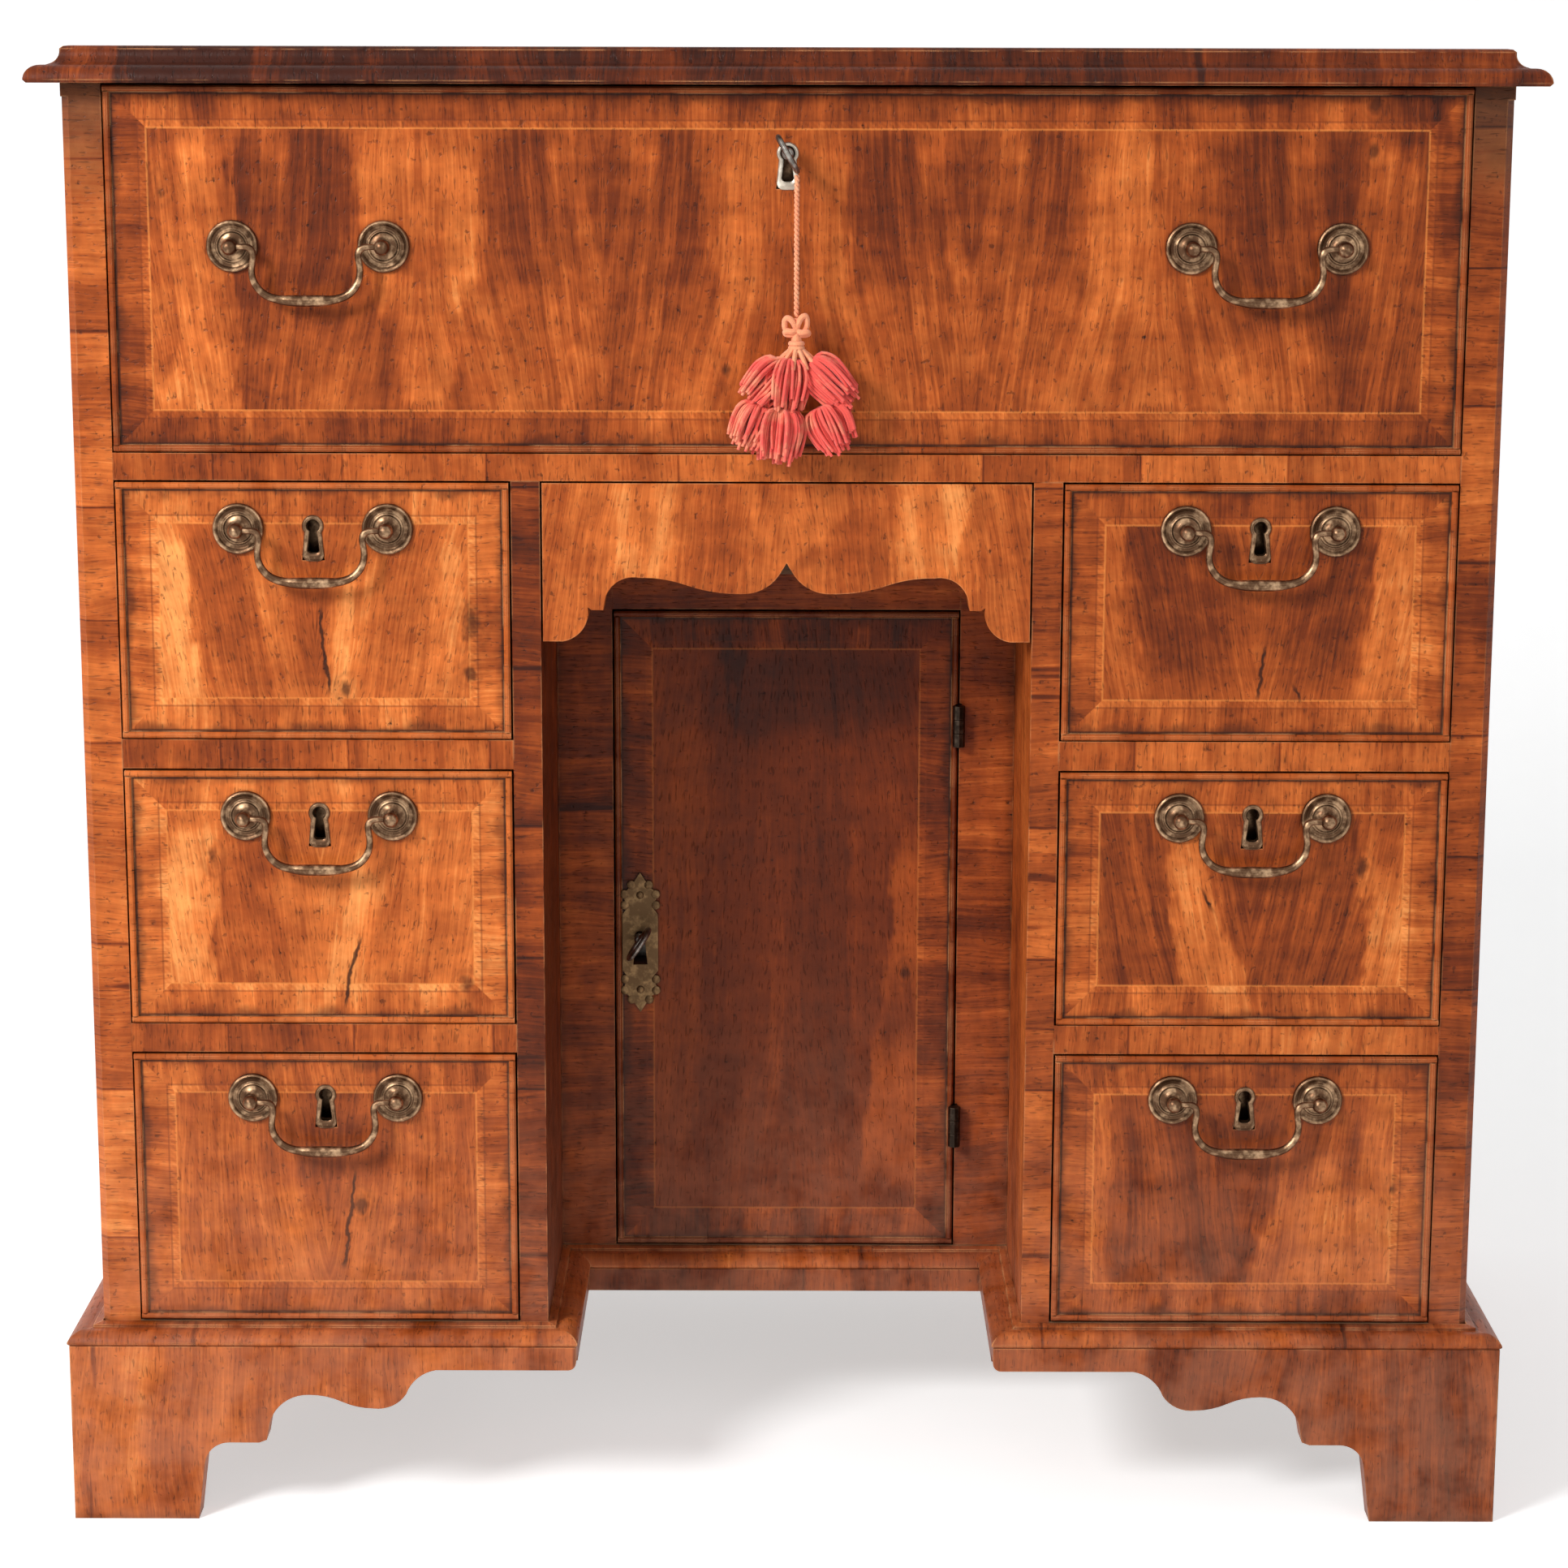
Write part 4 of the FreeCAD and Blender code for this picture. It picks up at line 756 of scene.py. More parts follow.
# %% Knots and cracks
def blemished(tree, colour, x, z, front):
    """Knots with a ring round them, and cracks that wander along the grain."""
    place = vector_of(tree, x, 0.0, z)
    waver = cloud(tree, place, 60.0, 3.0, 0.65) - 0.5
    for knot_x, knot_z, radius in front.knots:
        away = ((x - knot_x).math("POWER", 2.0) + ((z - knot_z) * 0.7).math("POWER", 2.0)).math("SQRT")
        away = away + waver * radius * 3.6
        ring = (away - radius * 1.7).size().ease(radius * 0.6, 0.0) * 0.18
        colour = mixed(tree, away.ease(radius * 1.3, radius * 0.2) * 0.75 + ring, colour, PATINA)
    for crack_x, bottom, top, lean in front.cracks:
        gap = (x - crack_x - (z - bottom) * lean + waver * 0.009).size()
        span = (z - bottom).least(top - z).ease(0.0, 0.008)
        colour = mixed(tree, gap.ease(0.0014, 0.0004) * span * 0.9, colour, PATINA)
    return colour


print("knots and cracks are dark patina")

# %% [markdown]
# One function lays a whole front: border, inlaid line, leaves, patches, blemishes and the bead that
# frames it. Separate materials would need the front to be cut into faces. The distance to the edge does
# it on one flat face.

# %% One veneered front
def veneered_finish(front):
    finish, tree, shader = new_finish(f"{front.node}_veneer")
    low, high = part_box(front.node)
    middle_x, half_x = (low.x + high.x) / 2, (high.x - low.x) / 2
    x, y, z = coordinates(tree)
    side_room = half_x - (x - middle_x).size()
    foot_room = (z - low.z).least(high.z - z)
    room = side_room.least(foot_room)
    on_side = (foot_room - side_room).ease(-0.0004, 0.0004)
    in_field = room.ease(BORDER_WIDTH + LINE_WIDTH - LINE_BLUR, BORDER_WIDTH + LINE_WIDTH + LINE_BLUR)
    in_line = room.ease(BORDER_WIDTH - LINE_BLUR, BORDER_WIDTH + LINE_BLUR) - in_field

    start = middle_x - front.leaf * 12
    leaf_way = (x - start).math("PINGPONG", front.leaf)
    leaned = leaf_way + (z - low.z) * front.slant
    patches = patched(tree, x, z, front.patches) * front.figure
    field, field_pores = walnut_pattern(tree, leaned, z, front.seed, 15.0)
    field = (field - 0.5) * front.vivid + 0.5
    upright, upright_pores = walnut_pattern(tree, x, z, front.seed + 5, 26.0)
    level, level_pores = walnut_pattern(tree, z, x, front.seed + 9, 26.0)
    border = upright + (level - upright) * on_side - 0.03 + patches * 0.5
    border_pores = upright_pores + (level_pores - upright_pores) * on_side
    tone = border + (field + patches - border) * in_field + front.lift
    pores = border_pores + (field_pores - border_pores) * in_field

    weave = (x + z).math("PINGPONG", WEAVE_WIDTH) * (1 / WEAVE_WIDTH)
    inlay = in_line * ((weave.ease(0.3, 0.7) - 0.5) * 0.05 + 0.09) * front.vivid
    colour = walnut_colour(tree, tone + inlay)
    for rim, tint in ((0.0, INLAY_DARK), (LINE_WIDTH, INLAY_LIGHT)):
        gap = (room - (BORDER_WIDTH + rim)).size()
        stringing = gap.ease(STRING_WIDTH * 1.3, STRING_WIDTH * 0.4) * (0.5 * front.vivid)
        colour = mixed(tree, stringing, colour, tint)
    drift = cloud(tree, vector_of(tree, x, y, z), 42.0, 3.0, 0.65)
    near_edge = (room - (drift - 0.25) * 0.022).ease(0.0034, -0.0030)
    colour = mixed(tree, near_edge * 0.6, colour, PATINA)
    groove = (room - BEAD_WIDTH - 0.0006).size().ease(0.0012, 0.0003)
    colour = mixed(tree, groove * 0.75, colour, PATINA)
    colour = blemished(tree, colour, x, z, front)
    on_bead = room.ease(BEAD_WIDTH + BEAD_BLUR, BEAD_WIDTH - BEAD_BLUR)
    bead_colour = shaded(tree, walnut_colour(tree, border * 0.3 + 0.30 + front.lift), drift * 0.9 + 0.6)
    colour = mixed(tree, on_bead, colour, bead_colour)
    # Edges and bead noses are lightened as wear and as a painted highlight.
    waxed(tree, shader, colour, pores, 0.75)
    return finish


print("a whole front is one material")

# %% [markdown]
# Seven drawers and the door each have a figure of their own, listed from the long drawer down. Pictures
# could be laid on them instead, but a few numbers for each flame are enough and can be changed one at a
# time.

# %% Seven drawers and the door
long_leaf = 0.096
small_leaf = 0.104
door_leaf = 0.5
# lift is partly each front's own wood and partly painted light: the left column is set lighter and the right
# column darker, as the light comes from the left, and the door darker as shade in the kneehole.
fronts = [
    Front("long_drawer_front", long_leaf, slant=0.08, seed=1.0, lift=-0.06, figure=0.9, patches=[
        (16, 606, 757, -336, -290, -331, -287), (20, 608, 646, -329, -289, -317, -289),
        (-30, 636, 644, -332, -301, -328, -303), (-22, 625, 630, -332, -289, -332, -313),
        (-16, 657, 755, -289, -212, -287, -230), (-5, 606, 657, -273, -198, -288, -212),
        (12, 610, 755, -196, -181, -228, -156), (10, 610, 716, -187, -180, -173, -157),
        (-10, 687, 756, -163, -114, -154, -105), (16, 615, 706, -119, -96, -105, -97),
        (-10, 657, 756, -89, -38, -93, -51), (9, 615, 756, -28, -8, -49, -4),
        (7, 607, 750, 9, 30, 8, 30), (-15, 681, 756, 32, 85, 32, 88),
        (16, 626, 694, 81, 110, 87, 93), (-7, 700, 756, 108, 152, 107, 151),
        (11, 607, 756, 160, 214, 155, 188), (10, 658, 750, 176, 191, 170, 189),
        (-13, 650, 756, 217, 289, 212, 302), (6, 607, 650, 205, 286, 206, 283),
        (-12, 605, 665, 286, 340, 286, 335), (16, 719, 748, 315, 323, 316, 325),
        (-22, 759, 779, 302, 347, 302, 346), (-35, 680, 771, 340, 350, 336, 347),
        (-30, 597, 616, 312, 351, 320, 350), (-20, 595, 623, -355, -323, -354, -336),
    ], knots=[
        (0.304, 0.770, 0.0034), (0.304, 0.748, 0.0034), (-0.032, 0.633, 0.0030), (-0.327, 0.725, 0.0039),
    ]),
    Front("left_upper_drawer_front", small_leaf, slant=-0.20, seed=2.0, lift=0.12, patches=[
        (24, 454, 554, -335, -311, -340, -317), (-10, 458, 550, -309, -277, -313, -287),
        (-12, 456, 511, -281, -244, -276, -245), (14, 456, 515, -244, -234, -241, -228),
        (10, 454, 555, -184, -169, -186, -172), (-10, 511, 554, -271, -228, -274, -214),
    ], knots=[(-0.235, 0.463, 0.0034), (-0.167, 0.502, 0.0065), (-0.168, 0.472, 0.0034)],
        cracks=[(-0.2439, 0.458, 0.510, -0.09)]),
    Front("left_middle_drawer_front", small_leaf, slant=-0.15, seed=3.0, lift=0.20, patches=[
        (22, 299, 392, -336, -312, -332, -308), (-8, 300, 383, -309, -257, -307, -252),
        (16, 298, 374, -254, -232, -229, -211), (-10, 370, 403, -288, -222, -291, -213),
        (5, 298, 397, -210, -169, -202, -165),
    ], knots=[(-0.309, 0.372, 0.0039), (-0.173, 0.300, 0.0043)], cracks=[(-0.2397, 0.286, 0.330, 0.22)]),
    Front("left_lower_drawer_front", small_leaf, slant=-0.10, seed=4.0, lift=0.10, patches=[
        (-16, 178, 248, -264, -246, -262, -231), (8, 129, 243, -341, -327, -337, -322),
        (-8, 197, 243, -243, -217, -233, -207), (6, 127, 178, -325, -249, -319, -253),
    ], knots=[(-0.232, 0.178, 0.0039)], cracks=[(-0.2428, 0.137, 0.199, 0.12)]),
    Front("right_upper_drawer_front", small_leaf, slant=-0.20, seed=5.0, lift=0.04, patches=[
        (10, 455, 556, 167, 191, 163, 178), (-14, 486, 556, 186, 301, 180, 309),
        (-4, 456, 486, 191, 297, 188, 299), (20, 449, 571, 301, 345, 314, 339),
        (8, 460, 565, 325, 336, 320, 328),
    ], knots=[(0.182, 0.543, 0.0013)],
        cracks=[(0.2519, 0.456, 0.491, 0.10), (0.2762, 0.455, 0.470, -0.49)]),
    Front("right_middle_drawer_front", small_leaf, slant=-0.15, seed=6.0, lift=0.10, patches=[
        (-10, 297, 402, 172, 213, 164, 202), (20, 295, 396, 213, 248, 206, 222),
        (-10, 296, 403, 248, 314, 234, 306), (24, 295, 366, 315, 338, 311, 337),
    ], knots=[(0.310, 0.366, 0.0039)], cracks=[(0.2332, 0.340, 0.358, -0.56)]),
    Front("right_lower_drawer_front", small_leaf, slant=-0.10, seed=7.0, lift=0.0, patches=[
        (-16, 131, 242, 177, 256, 179, 280), (12, 129, 194, 257, 345, 270, 343),
        (-8, 196, 240, 277, 308, 280, 320),
    ], knots=[(0.333, 0.187, 0.0026)]),
    Front("door_panel", door_leaf, slant=0.06, seed=8.0, lift=-0.22, vivid=0.45, patches=[
        (-14, 415, 467, -29, 75, -36, 74), (-10, 417, 466, -50, -32, -46, -23),
        (20, 151, 351, 43, 104, 64, 101), (-18, 233, 269, 55, 101, 50, 101),
        (8, 136, 417, -80, -51, -78, -43), (-8, 176, 370, 1, 39, -4, 38),
    ], knots=[(0.069, 0.275, 0.0030)]),
]
for front in fronts:
    dress(veneered_finish(front), front.node)
print(len(fronts), "fronts are veneered")

# %% [markdown]
# The apron over the kneehole has neither border nor inlay. Its grain is mirrored about the middle, with
# lighter flames laid over it. It could be dressed like a drawer, but its shaped lower edge would break
# the border.

# %% Apron
def apron_finish(patches):
    finish, tree, shader = new_finish("apron_walnut")
    x, y, z = coordinates(tree)
    tone, pores = walnut_pattern(tree, x.size() + z * 0.12, z, 21.0, 24.0)
    tone = tone + patched(tree, x, z, patches) + 0.10
    waxed(tree, shader, walnut_colour(tree, tone), pores)
    return finish


dress(apron_finish([
    (16, 522, 573, -90, -60, -88, -55), (10, 529, 573, -6, -1, -28, -13),
    (10, 529, 573, -3, 5, 11, 39), (16, 521, 573, 61, 91, 59, 92),
    (-8, 490, 573, 95, 132, 94, 131), (-5, 490, 573, -133, -95, -133, -94),
]), "apron_drawer_front")
print("the apron has flames of its own")

# %% [markdown]
# The handles are brass that has gone brown, rubbed bright where fingers and bails touch it, and the
# door's keyhole plate is a duller brass. Keys, bolts and the door's lock are worn iron, the hinges are
# black iron, and the long drawer's keyhole has a rim of bright steel. All are metals, so their colour
# sits in the reflection: the brown is tarnish in the hollows, and the edge formula finds the rubbed
# places.

# %% Aged metal
def aged_metal(name, bright, dull, grime, roughness, seed):
    """Metal that is bright where rubbed, dull elsewhere and grimy in its corners, in paint-chart colours."""
    bright, dull, grime = linear(*bright), linear(*dull), linear(*grime)
    finish, tree, shader = new_finish(name)
    x, y, z = coordinates(tree)
    place = vector_of(tree, x, y, z)
    blotch = cloud(tree, place, 180.0 + seed, 4.0, 0.6)
    fine = cloud(tree, place, 900.0, 2.0, 0.6)
    colour = mixed(tree, blotch.ease(0.42, 0.75), dull, bright)
    colour = mixed(tree, edge_share(tree, 0.0009) * 0.6, colour, bright)
    colour = mixed(tree, corner_share(tree, 0.006) * 0.9, colour, grime)
    tree.links.new(colour, shader.inputs["Base Color"])
    tree.links.new((blotch * 0.2 + fine * 0.12 + roughness).socket, shader.inputs["Roughness"])
    shader.inputs["Metallic"].default_value = 1.0
    relief(tree, shader, blotch + fine * 0.4, 0.0002, 0.4)
    return finish


brass = aged_metal("aged_brass", (196, 160, 124), (90, 64, 46), (34, 20, 13), roughness=0.22, seed=0.0)
steel = aged_metal("bright_steel", (236, 226, 208), (178, 166, 150), (60, 46, 36), roughness=0.24, seed=50.0)
iron = aged_metal("worn_iron", (176, 170, 160), (104, 98, 92), (34, 26, 20), roughness=0.26, seed=30.0)
plate_brass = aged_metal("plate_brass", (150, 120, 84), (92, 70, 48), (30, 20, 12), roughness=0.34, seed=12.0)
black_iron = aged_metal("black_iron", (92, 78, 66), (44, 36, 30), (18, 13, 10), roughness=0.34, seed=70.0)
dress(plate_brass, "door_keyhole_plate")
dress(black_iron, "door_hinge_leaves", "stile_hinge_leaves")
dress(iron, "door_lock", "door_bolt", "long_drawer_bolt")
print("brass and iron are mixed")

# %% [markdown]
# A handle has two roses, round plates with a rolled rim and a ring, and on each a turned post whose ball
# takes the end of the bail. Turned pieces are profiles spun round an axis. A modifier could spin them
# too, but then they could not be collected with the nuts and the lock in one pile.

# %% Turned roses
TURN_STEPS = 32


def turned(pile, profile, place=Matrix.Identity(4), steps=TURN_STEPS):
    """Spin a profile of (radius, depth) round the line from front to back."""
    rows = []
    turns = [2 * math.pi * step / steps for step in range(steps)]
    for radius, depth in profile:
        rows.append([(radius * math.cos(turn), depth, radius * math.sin(turn)) for turn in turns])
    pile.rings(rows, place)


rose_profile = [
    (13.5, 0.0), (13.5, -1.2), (13.2, -2.0), (12.5, -2.4), (11.7, -2.2), (11.1, -1.5), (10.6, -1.2),
    (8.9, -1.1), (8.5, -1.6), (7.9, -1.9), (7.3, -1.6), (6.9, -1.3), (5.6, -1.6), (4.4, -2.4),
    (3.5, -3.4), (2.8, -4.4), (2.5, -5.4), (2.5, -6.2), (3.2, -6.5), (3.4, -7.0), (3.0, -7.5),
    (3.5, -8.3), (4.0, -9.4), (4.2, -10.8), (4.1, -12.0), (3.6, -13.2), (2.8, -14.2), (1.6, -14.9),
    (0.5, -15.2),
]
print("a rose has", len(rose_profile), "rings")

# %% [markdown]
# Nuts and locks are blocks with their edges filed off, and each drawer's keyhole is lined with a raised
# lip: a round eye over a foot that widens downward. A bevel modifier could take the edges off, but as
# rows of points the blocks join the same pile as the roses.

# %% Cut blocks and keyholes
def cut_block(pile, centre, size, bevel):
    """A block with its edges taken off, as three stacked rectangles along the depth."""
    half = Vector(size) / 2
    rows = []
    for depth, inset in ((-half.y, bevel), (-half.y + bevel, 0), (half.y - bevel, 0), (half.y, bevel)):
        wide, tall = half.x - inset, half.z - inset
        corners = [
            (-wide, -tall + bevel), (-wide + bevel, -tall), (wide - bevel, -tall), (wide, -tall + bevel),
            (wide, tall - bevel), (wide - bevel, tall), (-wide + bevel, tall), (-wide, tall - bevel),
        ]
        rows.append([(centre[0] + u, centre[1] + depth, centre[2] + v) for u, v in corners])
    pile.rings(rows)


def keyhole_outline(extra):
    """Round eye over a foot that widens downward to a rounded end, as points round the hole."""
    eye, waist, foot = 3.3 + extra * 1.05, 1.8 + extra * 1.2, 3.1 + extra * 1.12
    length, corner = 14.6 + extra * 1.85, 1.9 + extra * 0.72
    points = []
    first = -math.acos(waist / eye)
    sweep = math.pi - 2 * first
    for step in range(17):
        turn = first + sweep * step / 16
        points.append((eye * math.cos(turn), eye * math.sin(turn)))
    for side, start in ((-1, math.pi), (1, 1.5 * math.pi)):
        for step in range(6):
            turn = start + math.pi / 2 * step / 5
            across = side * (foot - corner) + corner * math.cos(turn)
            points.append((across, corner - length + corner * math.sin(turn)))
    return points


def keyhole_lip(pile, place):
    """A thin lip that lines a keyhole and rolls over its edge."""
    rows = []
    for extra, depth in ((0.0, 4.8), (0.0, -0.4), (0.6, -1.1), (1.6, -1.1), (2.3, -0.4), (2.3, 0.5)):
        rows.append([(u, depth, v) for u, v in keyhole_outline(extra)])
    pile.rings(rows, place, ends=False)


print("a keyhole has", len(keyhole_outline(0)), "points")

# %% [markdown]
# The six small drawers share one set of fittings: two roses with their nuts behind the front, the lip of
# the keyhole and the lock. The long drawer has two handles, and its lip is a piece of its own, because it
# is steel. Every set could be made anew, but six pieces with one mesh stay alike.

# %% Fittings of the drawers
POST_SPREAD = 79
NUT_SIZE = (11, 3, 11)
NUT_DEPTH = 21.5
LOCK_DEPTH = 20
BLOCK_BEVEL = 0.8
SIDES = (("left", -1), ("right", 1))


def fittings(handle_offsets, lock_size, lock_rise, lip_rise=None):
    """What is fixed to one drawer front, round the middle of its handles. Without a rise it has no lip."""
    pile = Pile()
    for offset in handle_offsets:
        for side in (-1, 1):
            across = offset + side * POST_SPREAD / 2
            turned(pile, rose_profile, Matrix.Translation((across, 0, 0)))
            cut_block(pile, (across, NUT_DEPTH, 0), NUT_SIZE, BLOCK_BEVEL)
    if lip_rise is not None:
        keyhole_lip(pile, Matrix.Translation((0, 0, lip_rise)))
    cut_block(pile, (0, LOCK_DEPTH + lock_size[1] / 2, lock_rise), lock_size, BLOCK_BEVEL)
    return pile


def desk_point(x, level):
    """A point on the face of the drawers, in metres, from millimetres."""
    return Vector((x, case_front * 1000, level)) * MILLIMETRE


column_centre = 250.75
small_levels = {"upper": 549.5, "middle": 394.5, "lower": 237.5}
small_lock_size = (56, 11, 34)
small_lock_rise = -4
small_lip_rise = 1.5
small_pile = fittings([0], small_lock_size, small_lock_rise, small_lip_rise)
small_fittings = small_pile.mesh("small_handle_fittings")

long_level = 697.5
long_offset = 250
long_lock_size = (56, 11.7, 48.3)
long_lock_rise = 44.5
long_lip_rise = 48.5
long_pile = fittings([-long_offset, long_offset], long_lock_size, long_lock_rise)
long_fittings = long_pile.mesh("long_handle_fittings")

for side, way in SIDES:
    for name, level in small_levels.items():
        drawer = f"{side}_{name}_drawer"
        piece_of(f"{drawer}_handle_plates", small_fittings, brass, desk_point(way * column_centre, level),
                 drawer, [f"{drawer}_fittings"])
piece_of("long_drawer_handle_plates", long_fittings, brass, desk_point(0, long_level),
         "long_drawer", ["long_drawer_fittings"])
long_lip = Pile()
keyhole_lip(long_lip, Matrix.Translation((0, 0, long_lip_rise)))
piece_of("long_drawer_keyhole_rim", long_lip.mesh("keyhole_rim"), steel, desk_point(0, long_level),
         "long_drawer")
print("seven sets of fittings are screwed on")

# %% [markdown]
# The door's flat keyhole plate has small round ears near its ends, and two pins hold it. The ears could
# be part of the plate's outline, but as low turned buttons they also catch the light.

# %% The plate on the door
plate_low, plate_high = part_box("door_keyhole_plate")
plate_middle = (plate_low + plate_high) / 2
half_plate = (plate_high.z - plate_low.z) / 2 / MILLIMETRE
pin_profile = [(2.1, 0.4), (2.1, -0.5), (1.5, -1.1), (0.3, -1.3)]
pin_inset = 13.5
ear_profile = [(2.6, 0.8), (2.6, 0.1), (2.0, -0.3), (0.3, -0.4)]
ear_places = ((5.0, 7.5), (9.0, 13.0), (9.0, 19.5))
ear_steps = 16
plate_pile = Pile()
for way in (-1, 1):
    turned(plate_pile, pin_profile, Matrix.Translation((0, 0, way * (half_plate - pin_inset))), ear_steps)
    for side in (-1, 1):
        for across, inset in ear_places:
            place = Matrix.Translation((side * across, 0, way * (half_plate - inset)))
            turned(plate_pile, ear_profile, place, ear_steps)
piece_of("door_plate_ornament", plate_pile.mesh("door_plate_ornament"), plate_brass,
         Vector((plate_middle.x, plate_low.y, plate_middle.z)), "door")
print("ears and pins are on the door's plate")

# %% [markdown]
# The bail is a cast swan neck: thin at the ends, bent sharply down past the posts, and thick along the
# bow. It is one rod along a smooth curve whose radius changes on the way. Spinning or extruding could not
# give the taper.

# %% Bails
half_bail = [
    (39.0, 0.0, 1.5), (35.0, 0.2, 1.5), (31.0, 0.4, 1.7), (28.2, -0.6, 1.9), (26.9, -4.0, 1.8),
    (28.0, -9.0, 1.7), (28.4, -14.0, 1.8), (26.6, -20.0, 2.0), (21.0, -25.6, 2.1), (13.0, -27.2, 2.3),
    (9.0, -27.5, 3.0), (3.0, -27.6, 3.1),
]
bail_depth = -11
bail_sides = 12
bail_points = half_bail + [(-x, z, radius) for x, z, radius in reversed(half_bail)]
bail_line = smooth_line([Vector((x, bail_depth, z)) for x, z, radius in bail_points], 4, 4)
radius_line = smooth_line([Vector((radius, 0, 0)) for x, z, radius in bail_points], 4, 4)
bail_pile = Pile()
tube(bail_pile, bail_line, [point.x for point in radius_line], bail_sides)
bail_mesh = bail_pile.mesh("swan_neck_bail")


def hang_bail(owner, x, level):
    """A bail swings on the body that has its owner's name and takes the place of the plain bail there."""
    bail = f"{owner}_bail"
    piece_of(f"{owner}_swan_bail", bail_mesh, brass, desk_point(x, level), bail, [bail])


for side, way in SIDES:
    for name, level in small_levels.items():
        hang_bail(f"{side}_{name}_drawer", way * column_centre, level)
    hang_bail(f"long_drawer_{side}", way * long_offset, long_level)
print("bail of", len(bail_line), "rings")

# %% [markdown]
# Each key has a ring to hold, a collar, a round shank and a bit. The ring is a flattened rod bent into a
# circle, the collar and shank are turned, and the bit is a small cut block.

# %% Keys
RING_CENTRE = -20
RING_RADIUS = 9.5
RING_HALF_WIDTH = 2.0
RING_HALF_DEPTH = 1.6
RING_STEPS = 36
RING_SIDES = 10
SHANK_STEPS = 20
BIT_CENTRE = (0, 22.6, -5.2)
BIT_SIZE = (2, 4, 6.8)
BIT_BEVEL = 0.3


def key_mesh():
    """A key along the depth, with the face of its lock at depth 0."""
    pile = Pile()
    rows = []
    for step in range(RING_STEPS):
        turn = 2 * math.pi * step / RING_STEPS
        row = []
        for corner in range(RING_SIDES):
            swing = 2 * math.pi * corner / RING_SIDES
            radius = RING_RADIUS + RING_HALF_WIDTH * math.cos(swing)
            along, up = RING_CENTRE + radius * math.cos(turn), radius * math.sin(turn)
            row.append((RING_HALF_DEPTH * math.sin(swing), along, up))
        rows.append(row)
    pile.rings(rows, looped=True)
    shank = [
        (2.0, -11.6), (3.0, -10.8), (3.1, -9.6), (2.3, -9.0), (2.3, -7.6), (3.1, -7.0), (3.1, -5.0),
        (2.4, -4.4), (2.4, 24.0), (2.0, 24.6),
    ]
    turned(pile, shank, steps=SHANK_STEPS)
    cut_block(pile, BIT_CENTRE, BIT_SIZE, BIT_BEVEL)
    return pile.mesh("ring_key")


ring_key = key_mesh()


def hang_key(name, place, tilt, body, replaced):
    """A key in its lock, turned by a tilt in degrees."""
    key = piece_of(name, ring_key, iron, place, body, [replaced])
    key.matrix_world = Matrix.Translation(place) @ Matrix.Rotation(math.radians(tilt), 4, "Y")


long_key_tilt = -30
long_key_place = desk_point(0, long_level + long_lip_rise)
door_key_tilt = 35
door_key_x, door_key_level = -84, 296
door_recess = Vector((0, 0.134, 0))
door_key_place = desk_point(door_key_x, door_key_level) + door_recess
hang_key("long_drawer_ring_key", long_key_place, long_key_tilt, "drawer_key", "long_drawer_key")
hang_key("door_ring_key", door_key_place, door_key_tilt, "door_key", "door_key")
print("two keys are in their locks")

# %% [markdown]
# The tassel is coral wool, and its knot and string are peach, both faded unevenly, painted paler towards
# the left where the light comes from, and darker in their crevices as painted shade. A plain red would be
# simpler, but yarn shows its ply, and its dye comes out in patches.

# %% Wool
def wool(name, main, tip, dark, seed):
    finish, tree, shader = new_finish(name)
    x, y, z = coordinates(tree)
    place = vector_of(tree, x, y, z)
    # Uneven fading, and painted light that makes the wool paler towards the left.
    fade_and_side_light = cloud(tree, place, 95.0 + seed, 3.0, 0.6) - (x - 0.005) * 3.0
    ply = cloud(tree, vector_of(tree, x + z * 0.4, y, z - x * 0.4), 1400.0, 2.0, 0.6)
    colour = mixed(tree, fade_and_side_light.ease(0.44, 0.74), main, tip)
    colour = mixed(tree, ply.ease(0.45, 0.30) * 0.25, colour, dark)
    # Painted shade in the crevices between yarns.
    colour = mixed(tree, corner_share(tree, 0.004) * 0.3, colour, dark)
    tree.links.new(colour, shader.inputs["Base Color"])
    tree.links.new((ply * 0.1 + 0.8).socket, shader.inputs["Roughness"])
    shader.inputs["Sheen Weight"].default_value = 0.3
    relief(tree, shader, ply, 0.0003, 0.8)
    return finish


coral_wool = wool("coral_wool", linear(250, 92, 80), linear(255, 158, 120), linear(190, 40, 34), 0.0)
peach_wool = wool("peach_wool", linear(255, 164, 118), linear(255, 196, 150), linear(200, 90, 60), 20.0)
string_mesh.materials.append(peach_wool)
print("two wools are dyed")

# %% [markdown]
# Two rows of three tufts hang from a knot, each tuft a bundle of yarn ends tied at its top, bulging and
# then falling open. Every yarn is its own thin tube. A solid with a hairy bump would save faces, but the
# silhouette of a tassel is its yarn.

# %% Tassel
dice = random.Random(7)
knot_place = string_route[-1]
YARN = 0.85
YARN_SIDES = 6
STRANDS = 84


def soft_line(points, steps):
    """A smooth line through points, as one cubic curve between each two."""
    last = len(points) - 1
    ways = [(points[min(number + 1, last)] - points[max(number - 1, 0)]) / 6 for number in range(last + 1)]
    line = []
    for number in range(last):
        start, end = points[number], points[number + 1]
        line += interpolate_bezier(start, start + ways[number], end - ways[number + 1], end, steps + 1)[:-1]
    return line + [points[-1]]


